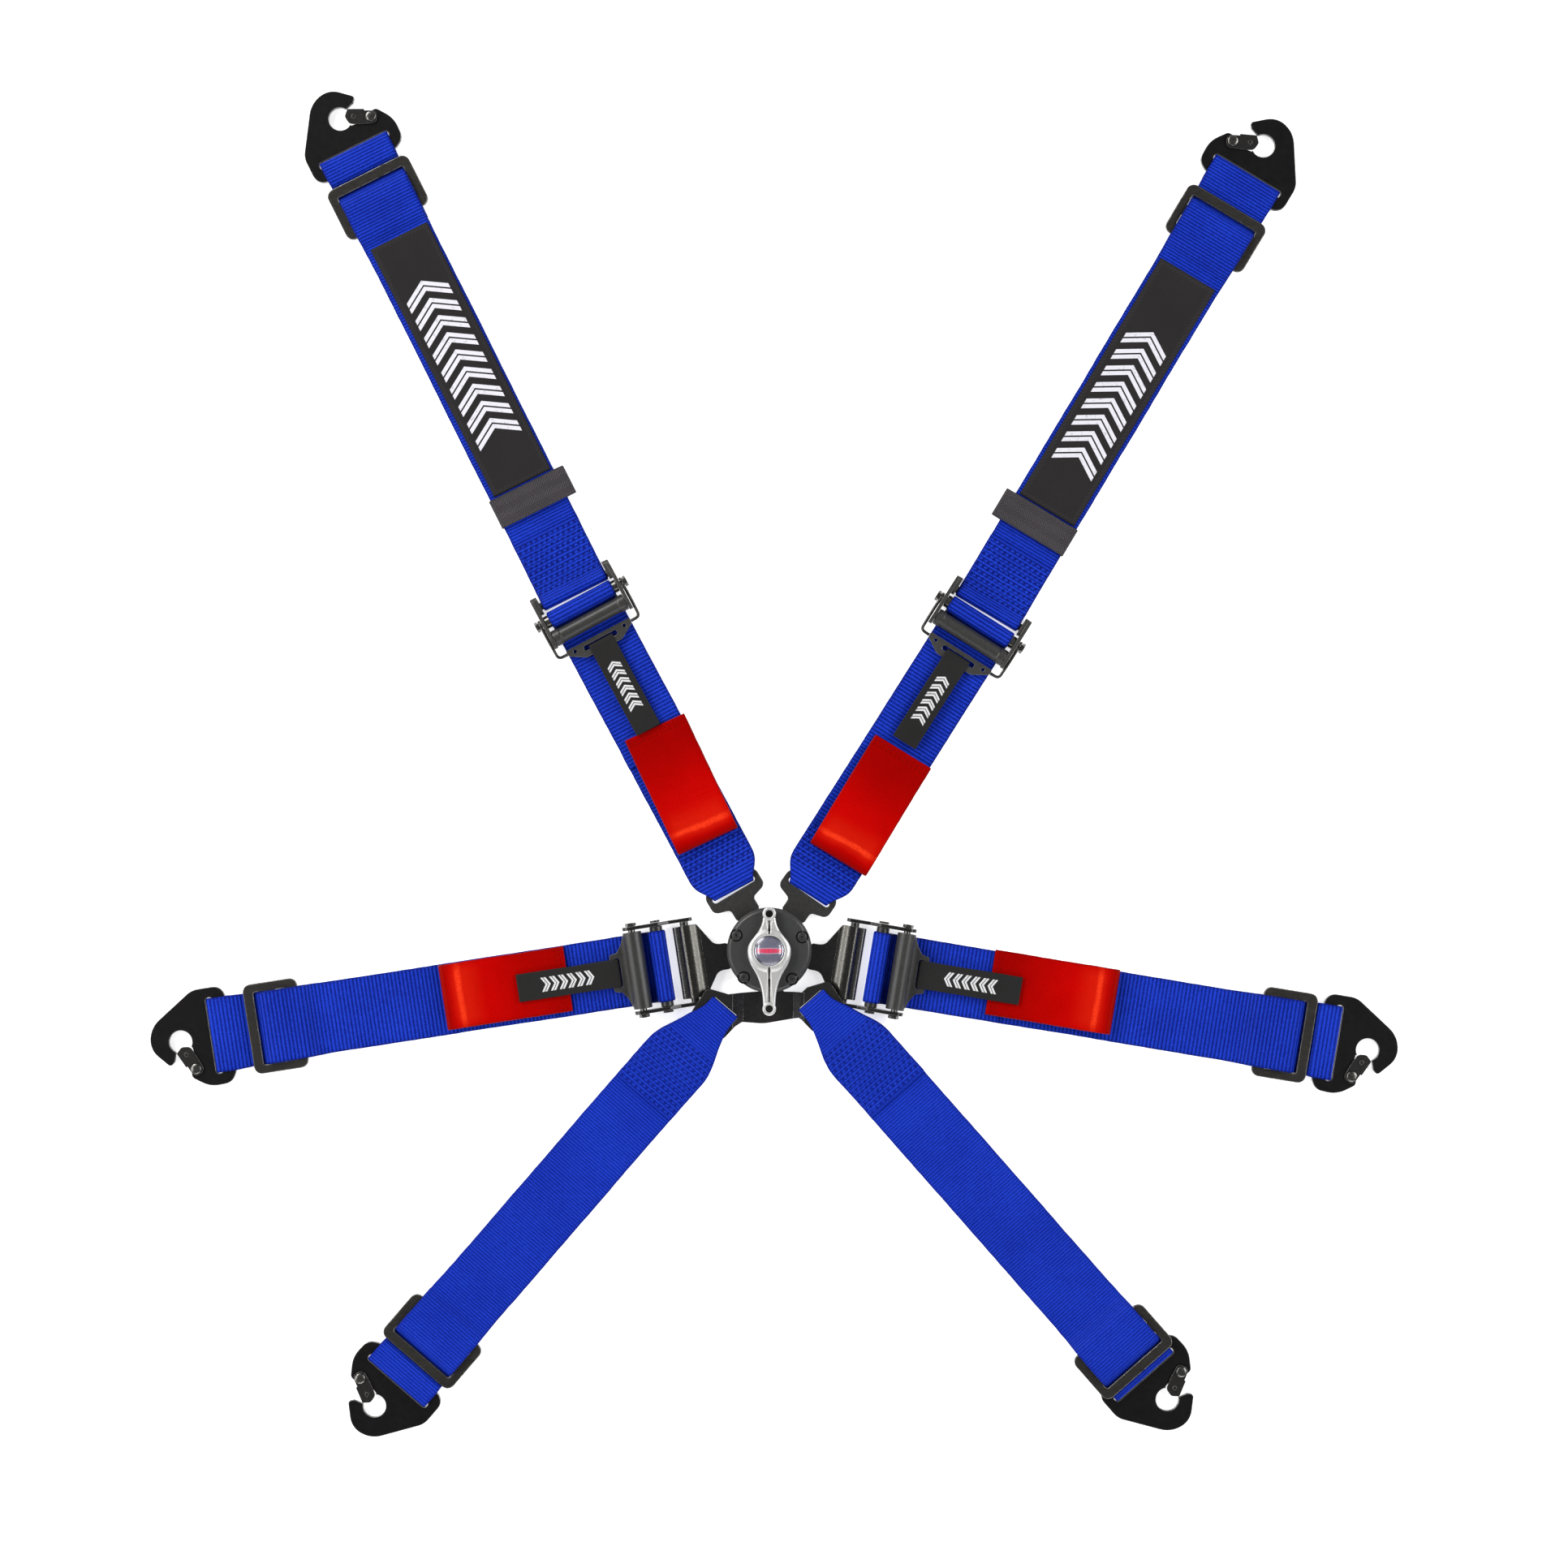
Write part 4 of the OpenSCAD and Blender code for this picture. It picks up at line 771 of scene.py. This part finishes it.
# Black cloth panels on the shoulders
def panel(name, p0, a, x0, x1, y, mat, node, seed):
    L, W = x1 - x0, 44.5
    nx, ny = 150, 34
    xs, ys = np.linspace(0, L, nx + 1), np.linspace(-W / 2, W / 2, ny + 1)
    X, Y = np.meshgrid(xs, ys, indexing="ij")
    edge = np.minimum(np.minimum(X, L - X), W / 2 - np.abs(Y))
    hem = 0.22 * np.clip((edge - 0.0) / 0.8, 0, 1) - 0.16 * np.exp(-((edge - 2.0) / 0.45) ** 2)
    wave = np.array([[noise.noise(Vector((x * 0.045, yy * 0.09, seed))) for yy in ys] for x in xs]) * 0.22
    wave += np.array([[noise.noise(Vector((x * 0.16, yy * 0.3, seed + 9))) for yy in ys] for x in xs]) * 0.07
    wave *= np.clip(edge / 4, 0, 1)
    top = np.stack([X + x0, Y + y, 2.85 + hem + wave], -1).reshape(-1, 3)
    bot = np.stack([X + x0, Y + y, 2.32 + 0 * X], -1).reshape(-1, 3)
    co = at(p0, a)(np.vstack([top, bot])) * MM
    R, K = nx + 1, ny + 1
    N = R * K
    faces = []
    for i in range(nx):
        for j in range(ny):
            q = (i * K + j, (i + 1) * K + j, (i + 1) * K + j + 1, i * K + j + 1)
            faces.append(q)
            faces.append(tuple(N + v for v in q[::-1]))
    rim = [i * K for i in range(R)] + [nx * K + j for j in range(1, K)] + [i * K + ny for i in range(nx - 1, -1, -1)] + [j for j in range(ny - 1, 0, -1)]
    for u, v in zip(rim, rim[1:] + rim[:1]):
        faces.append((v, u, N + u, N + v))
    me = bpy.data.meshes.new(name)
    me.from_pydata(co.tolist(), [], faces)
    uv = me.uv_layers.new(name="cloth")
    li = np.zeros(len(me.loops), np.int32)
    me.loops.foreach_get("vertex_index", li)
    flat = np.column_stack([np.tile(Y.ravel(), 2)[li] * MM, np.tile(X.ravel(), 2)[li] * MM])
    uv.data.foreach_set("uv", flat.astype(np.float32).ravel())
    st = np.tile(np.exp(-((edge - 2.0) / 0.55) ** 2).ravel(), 2)
    at_ = me.attributes.new("stitch", "FLOAT", "POINT")
    at_.data.foreach_set("value", st.astype(np.float32))
    me.materials.append(mat)
    me.shade_smooth()
    bm = bmesh.new()
    bm.from_mesh(me)
    bmesh.ops.recalc_face_normals(bm, faces=bm.faces)
    bm.to_mesh(me)
    bm.free()
    o = bpy.data.objects.new(name, me)
    scene.collection.objects.link(o)
    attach(o, "root")
    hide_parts(node)
    return o


panel("shoulder_panel_l", SL1, A_SL, 95, 290, -1, panel_l_mat, "panel_l", 21.0)
panel("shoulder_panel_r", SR1, A_SR, 92, 285.5, 0, panel_r_mat, "panel_r", 31.0)


# Elastic keepers: a closed band round the strap
def keeper(name, p0, a, x, y, node, seed, skew):
    base = at(p0, a)
    ring = []
    for cx, cz, a0 in ((28.0, 1.15, -90), (28.0, 3.65, 0), (-28.0, 3.65, 90), (-28.0, 1.15, 180)):
        ring += arc(cx, cz, 0.82, a0, a0 + 90, 5)
    ring.append(ring[0])

    def place(v):
        # strip's along runs round the ring (y, z); its across runs along the strap
        return base(np.column_stack([v[:, 1] + x + v[:, 0] * skew, v[:, 0] + y, v[:, 2]]))
    o, length = strip(name, ring, lambda q: (-10.6, 10.6), 0.62, place, keeper_mat, [node], node, step=1.0,
                      closed=True, seed=seed)
    return o


keeper("elastic_keeper_l", SL1, A_SL, 83, -3, "keeper_l", 41, 0.0)
keeper("elastic_keeper_r", SR1, A_SR, 80.2, 3, "keeper_r", 42, 0.0)


# Tabs: a folded strip sewn back on itself
def tab(name, p0, a, path, w, node, body, seed):
    def place(v):
        return at(p0, a)(v)
    o, length = strip(name, path, lambda q: (-w / 2, w / 2), 0.72, place, tab_mat, [node], body, step=1.0, seed=seed)
    return o


for side, p0, a in (("l", SL1, LOW_AL), ("r", SR1, LOW_AR)):
    path = ([(-100, 7.4), (-36, 6.95)] + arc(-29.2, 5.7, 1.2, 90, -90, 10) + [(-36, 4.5), (-46, 5.2), (-90, 6.1), (-100, 6.5)])
    tab("release_tab_shoulder_" + side, p0, a, path, 18.6, "tab_shoulder_" + side, "bail_" + side, 51)
for side, a in (("l", A_LL), ("r", A_LR)):
    path = ([(178.8, 7.3), (LAP_AX + 20, 7.4)] + arc(LAP_AX + 13.9, 6.1, 1.3, 95, 265, 10)
            + [(LAP_AX + 20, 4.8), (LAP_AX + 32, 5.4), (138, 6.3), (178.8, 6.3)])
    tab("release_tab_lap_" + side, (0, 0), a, path, 19.4, "tab_lap_" + side, "tilt_" + side, 53)

# ------------------------------------------------------------------ hard pieces modelled as meshes
def grid_solid(name, top, bottom, mat, body, slot, replaced=(), attrs=None, wrap=False):
    """A closed solid between two grids of points (rows x columns x 3, mm)."""
    R, C = top.shape[:2]
    co = np.vstack([top.reshape(-1, 3), bottom.reshape(-1, 3)]) * MM
    N = R * C
    faces = []
    for i in range(R - 1):
        for j in range(C - 1):
            q = (i * C + j, (i + 1) * C + j, (i + 1) * C + j + 1, i * C + j + 1)
            faces.append(q)
            faces.append(tuple(N + v for v in q[::-1]))
    rim = [i * C for i in range(R)] + [(R - 1) * C + j for j in range(1, C)] + [i * C + C - 1 for i in range(R - 2, -1, -1)] + [j for j in range(C - 2, 0, -1)]
    for u, v in zip(rim, rim[1:] + rim[:1]):
        faces.append((v, u, N + u, N + v))
    return co, faces, N


def lathe(profile, centre, n=64):
    """Points and faces of a closed profile (r, z) turned about z at centre, mm."""
    k = len(profile)
    a = np.linspace(0, 2 * math.pi, n, endpoint=False)
    co = np.array([[centre[0] + r * math.cos(t), centre[1] + r * math.sin(t), z] for t in a for r, z in profile]) * MM
    faces = [(i * k + j, i * k + (j + 1) % k, ((i + 1) % n) * k + (j + 1) % k, ((i + 1) % n) * k + j) for i in range(n) for j in range(k)]
    return co, faces


def join(name, shells, mat, body, replaced=(), sharp=40):
    """One piece from (points, faces, {attribute: values}) shells."""
    co, faces, at_ = [], [], {}
    keys = sorted({k for sh in shells for k in (sh[2] if len(sh) > 2 else {})})
    off = 0
    for sh in shells:
        c, f = np.asarray(sh[0]), sh[1]
        co.append(c)
        faces += [tuple(int(v) + off for v in q) for q in f]
        for k in keys:
            at_.setdefault(k, []).append(np.asarray(sh[2][k]) if len(sh) > 2 and k in sh[2] else np.zeros(len(c)))
        off += len(c)
    me = bpy.data.meshes.new(name)
    me.from_pydata(np.vstack(co).tolist(), [], faces)
    for k in keys:
        a = me.attributes.new(k, "FLOAT", "POINT")
        a.data.foreach_set("value", np.concatenate(at_[k]).astype(np.float32))
    me.materials.append(mat)
    bm = bmesh.new()
    bm.from_mesh(me)
    bmesh.ops.recalc_face_normals(bm, faces=bm.faces)
    bm.to_mesh(me)
    bm.free()
    me.shade_smooth()
    me.set_sharp_from_angle(angle=math.radians(sharp))
    o = bpy.data.objects.new(name, me)
    scene.collection.objects.link(o)
    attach(o, body)
    if replaced:
        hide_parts(*replaced)
    return o


# Release lever: crowned arms with a cut down the middle, a hub round the badge, and an eye at each end
LEVER = [(-37.9, 4.3), (-36.5, 4.35), (-33.6, 4.5), (-30, 4.9), (-25.6, 5.7), (-21, 7.1), (-17.6, 8.5), (-14.5, 10.2), (-11.8, 11.9),
         (-9.6, 13.1), (-7, 14.2), (-4, 15), (0, 15.3), (3, 14.9), (6, 13.3), (9, 11), (12, 8.6), (15, 6.6), (18, 5.3),
         (21, 4.6), (23, 4.35)]


def lever_shell():
    ys = np.linspace(-37.9, 22.9, 230)
    t = np.linspace(-1, 1, 65)
    t = np.sign(t) * np.abs(t) ** 0.8
    w = np.interp(ys, [q[0] for q in LEVER], [q[1] for q in LEVER])
    w = np.convolve(np.pad(w, 6, mode="edge"), np.ones(13) / 13, "valid")
    X = w[:, None] * t[None, :]
    Y = np.repeat(ys[:, None], len(t), 1)
    r = np.hypot(X, Y)
    edge = (1 - np.abs(t))[None, :] * w[:, None]
    round_ = np.sqrt(np.clip(1 - (1 - np.clip(edge / 1.5, 0, 1)) ** 2, 0, 1))
    arm = 22.6 + 1.15 * round_ + 0.25 * (1 - t[None, :] ** 2)
    hub = np.interp(r, [0, 10.25, 10.35, 11.2, 12.6, 14.4, 15.5, 17.5], [24.05, 24.05, 24.9, 25.35, 25.3, 24.6, 23.7, 22.2])
    hub = np.where(r < 15.6, hub, 0)
    z = np.maximum(arm, hub - 0.9 * (1 - round_))
    along = np.where(ys > 0, (ys - 11.5) / 10.5, (-ys - 11.5) / 25.0)[:, None]
    on = (along > 0) & (along < 1.06)
    half = 0.9 + 1.5 * np.clip(along, 0, 1)
    dip = np.clip(1 - np.abs(X) / half, 0, 1) * on
    z -= 0.85 * dip ** 0.8
    # the cut's floor is painted near-black by the lever material: painted shade
    groove = ((np.abs(X) < 0.48) & on).astype(float)
    z -= 1.3 * groove
    # the dip beside the cut is painted darker grey: painted shade
    valley = np.clip((half - np.abs(X)) / 0.35, 0, 1) * on
    top = np.stack([X, Y, z], -1)
    bot = np.stack([X, Y, np.full_like(X, 19.25)], -1)
    co, faces, n = grid_solid("", top, bot, None, "", "")
    return co, faces, {"groove": np.concatenate([groove.ravel(), np.zeros(n)]), "valley": np.concatenate([valley.ravel() * 0.85, np.zeros(n)])}


def eye_shell(y):
    pr = [(2.62, 19.3), (2.62, 23.7), (2.85, 24.25), (3.4, 24.5), (4.0, 24.45), (4.5, 24.1), (4.8, 23.4), (4.8, 19.6), (4.5, 19.3)]
    co, f = lathe(pr, (0, y), 56)
    # the bores and the eyes' lower sides are painted darker: painted shade
    painted_shade = np.tile([1.0, 0.55, 0, 0, 0, 0, 0, 0, 0], 56)
    return co, f, {"groove": painted_shade * 0.0, "valley": np.tile([1.0, 0.2, 0, 0, 0, 0, 0, 0.6, 0.6], 56)}


join("lever_casting", [lever_shell(), eye_shell(25.8), eye_shell(-40.6)], lever_mat, "lever", ["release_lever"], 38)

# A thin rim round the badge
rim_mat = coated("badge_rim", (0.10, 0.10, 0.13), (0.42, 0.42, 0.47), 0.18, 0.9, 0.5, 500)
co, f = lathe([(9.35, 25.05), (9.5, 25.62), (9.8, 25.74), (10.08, 25.6), (10.14, 25.0), (10.1, 24.3), (9.6, 24.25)], (0, 0), 96)
join("badge_rim_ring", [(co, f)], rim_mat, "lever")

# A step round the cover's face
co, f = lathe([(26.3, 17.95), (26.3, 18.06), (26.55, 18.16), (26.9, 18.18), (27.25, 18.14), (27.4, 18.02), (27.4, 17.9)], (0, 0), 128)
join("cover_bead", [(co, f)], cover_mat, "root")

# Sunk rings round the cover's screws, painted near-black: painted shade in the gap round each screw
screw_gap_shade_mat = coated("screw_seat", (0.0012, 0.0012, 0.0012), (0.005, 0.005, 0.005), 0.45, 0.0, 0.15, 700)
shells = []
for p in ((-23, 10.5), (23, 9.3), (-17.8, -19), (16, -20)):
    shells.append(lathe([(3.3, 17.94), (3.35, 18.05), (3.75, 18.03), (4.2, 18.05), (4.4, 18.08), (4.5, 17.98), (4.4, 17.92)], p, 48))
join("screw_seats", shells, screw_gap_shade_mat, "root")


def tube(path, r, n=14):
    """A round wire along path, mm, closed at both ends."""
    p = np.array(path, float)
    tan = np.gradient(p, axis=0)
    tan /= np.linalg.norm(tan, axis=1)[:, None]
    up = np.array([0.0, 0.0, 1.0])
    co, k = [], []
    side = None
    for q, t in zip(p, tan):
        a = np.cross(up, t)
        if np.linalg.norm(a) < 1e-4:
            a = side if side is not None else np.array([1.0, 0, 0])
        a /= np.linalg.norm(a)
        side = a
        b = np.cross(t, a)
        for i in range(n):
            w = 2 * math.pi * i / n
            co.append(q + r * (math.cos(w) * a + math.sin(w) * b))
    R = len(p)
    f = [(i * n + j, i * n + (j + 1) % n, (i + 1) * n + (j + 1) % n, (i + 1) * n + j) for i in range(R - 1) for j in range(n)]
    f.append(tuple(range(n))[::-1])
    f.append(tuple((R - 1) * n + j for j in range(n)))
    return np.array(co), f


def fillet(pts, r, n=8):
    """Polyline with its corners rounded at radius about r."""
    p = [np.array(q, float) for q in pts]
    out = [p[0]]
    for a, b, c in zip(p, p[1:], p[2:]):
        u, v = (a - b) / np.linalg.norm(a - b), (c - b) / np.linalg.norm(c - b)
        d = min(r, np.linalg.norm(a - b) / 2.2, np.linalg.norm(c - b) / 2.2)
        s_, e_ = b + u * d, b + v * d
        for i in range(n + 1):
            t = i / n
            out.append((1 - t) ** 2 * s_ + 2 * t * (1 - t) * b + t * t * e_)
    out.append(p[-1])
    return out


for side, p0, a in (("l", SL1, LOW_AL), ("r", SR1, LOW_AR)):
    place = at(p0, a)
    shells = []
    for m in (-1, 1):
        ring, f = tube([(2.95 * math.cos(t), m * 32.4, BZ + 2.95 * math.sin(t)) for t in np.linspace(0.2, 2 * math.pi + 0.1, 30)], 1.05, 12)
        shells.append((place(ring) * MM, f))
        wire, f = tube(fillet([(-2.9, m * 32.4, 6.9), (-12, m * 32.5, 6.4), (-26.4, m * 32.2, 5.7), (-26.6, m * 25.4, 5.7)], 4.2), 1.12, 14)
        shells.append((place(wire) * MM, f))
    join("bail_wire_" + side, shells, bail_mat, "bail_" + side, ["bail_" + side], 60)
    # washers on the bolt ends
    shells = []
    for m in (-1, 1):
        co, f = lathe([(2.5, 0.0), (4.3, 0.0), (4.5, 0.2), (4.5, 0.7), (4.3, 0.9), (2.5, 0.9)], (0, 0), 40)
        v = co / MM
        v = np.column_stack([v[:, 0], m * (31.02 + v[:, 2] * 0.28), v[:, 1] + BZ])
        shells.append((place(v) * MM, f))
    join("bolt_washers_" + side, shells, steel_mat, "root", (), 50)

# Coil springs over the lock pins.
shells = []
for a in (A_TL, A_TR, A_LL, A_LR, 272):
    t = np.linspace(0, 1, 150)
    w = 2 * math.pi * 4.5 * t
    z = 10.56 + 4.58 * np.clip((t - 0.11) / 0.78, 0, 1)
    coil, f = tube(np.column_stack([3.58 * np.cos(w), 3.58 * np.sin(w), z]), 0.3, 10)
    shells.append((at(polar(21.5, a), a)(coil) * MM, f))
o = join("pin_coils", shells, inner_mat, "root", ["pin_springs"], 60)
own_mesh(o)


# Lap tongues: the sheet rises and rolls over the crossbar
for side, a in (("l", A_LL), ("r", A_LR)):
    place = at((0, 0), a)
    prof = [(46.2, 6.5), (47.6, 6.62), (49.2, 7.1), (51.0, 8.0), (52.8, 8.85), (54.6, 9.28)]
    prof += [(56.6 + 4.1 * math.cos(w), 5.3 + 4.1 * math.sin(w)) for w in np.radians(np.linspace(96, -62, 22))]
    pr = cut(prof, 2)
    tn = np.gradient(pr, axis=0)
    tn /= np.hypot(*tn.T)[:, None]
    inner = pr + np.column_stack([tn[:, 1], -tn[:, 0]]) * np.minimum(0.9, 0.06 + 0.2 * np.arange(len(pr)))[:, None]
    t = np.linspace(-1, 1, 41)
    half = np.interp(pr[:, 0], [46, 48.3, 49.5], [22.3, 25.3, 25.55])
    top = np.stack([np.repeat(pr[:, :1], 41, 1), half[:, None] * t[None, :], np.repeat(pr[:, 1:], 41, 1)], -1)
    bot = np.stack([np.repeat(inner[:, :1], 41, 1), half[:, None] * t[None, :], np.repeat(inner[:, 1:], 41, 1)], -1)
    co, faces, n = grid_solid("", place(top.reshape(-1, 3)).reshape(top.shape), place(bot.reshape(-1, 3)).reshape(bot.shape), None, "", "")
    join("lap_tongue_roll_" + side, [(co, faces)], roll_mat, "root", (), 50)
    # the lip below the roll, turned down towards the strap
    pr = cut([(59.6, 6.7), (61.4, 6.35), (63.6, 5.8), (64.9, 5.1), (65.25, 4.0), (65.2, 2.6)], 2)
    tn = np.gradient(pr, axis=0)
    tn /= np.hypot(*tn.T)[:, None]
    inner = pr + np.column_stack([tn[:, 1], -tn[:, 0]]) * 1.6
    half = 25.5 - 0.35 * np.clip((pr[:, 0] - 64.2) / 1.0, 0, 1) ** 2
    top = np.stack([np.repeat(pr[:, :1], 41, 1), half[:, None] * t[None, :], np.repeat(pr[:, 1:], 41, 1)], -1)
    bot = np.stack([np.repeat(inner[:, :1], 41, 1), half[:, None] * t[None, :], np.repeat(inner[:, 1:], 41, 1)], -1)
    co, faces, n = grid_solid("", place(top.reshape(-1, 3)).reshape(top.shape), place(bot.reshape(-1, 3)).reshape(bot.shape), None, "", "")
    join("lap_tongue_lip_" + side, [(co, faces)], gloss_mat, "root", (), 50)
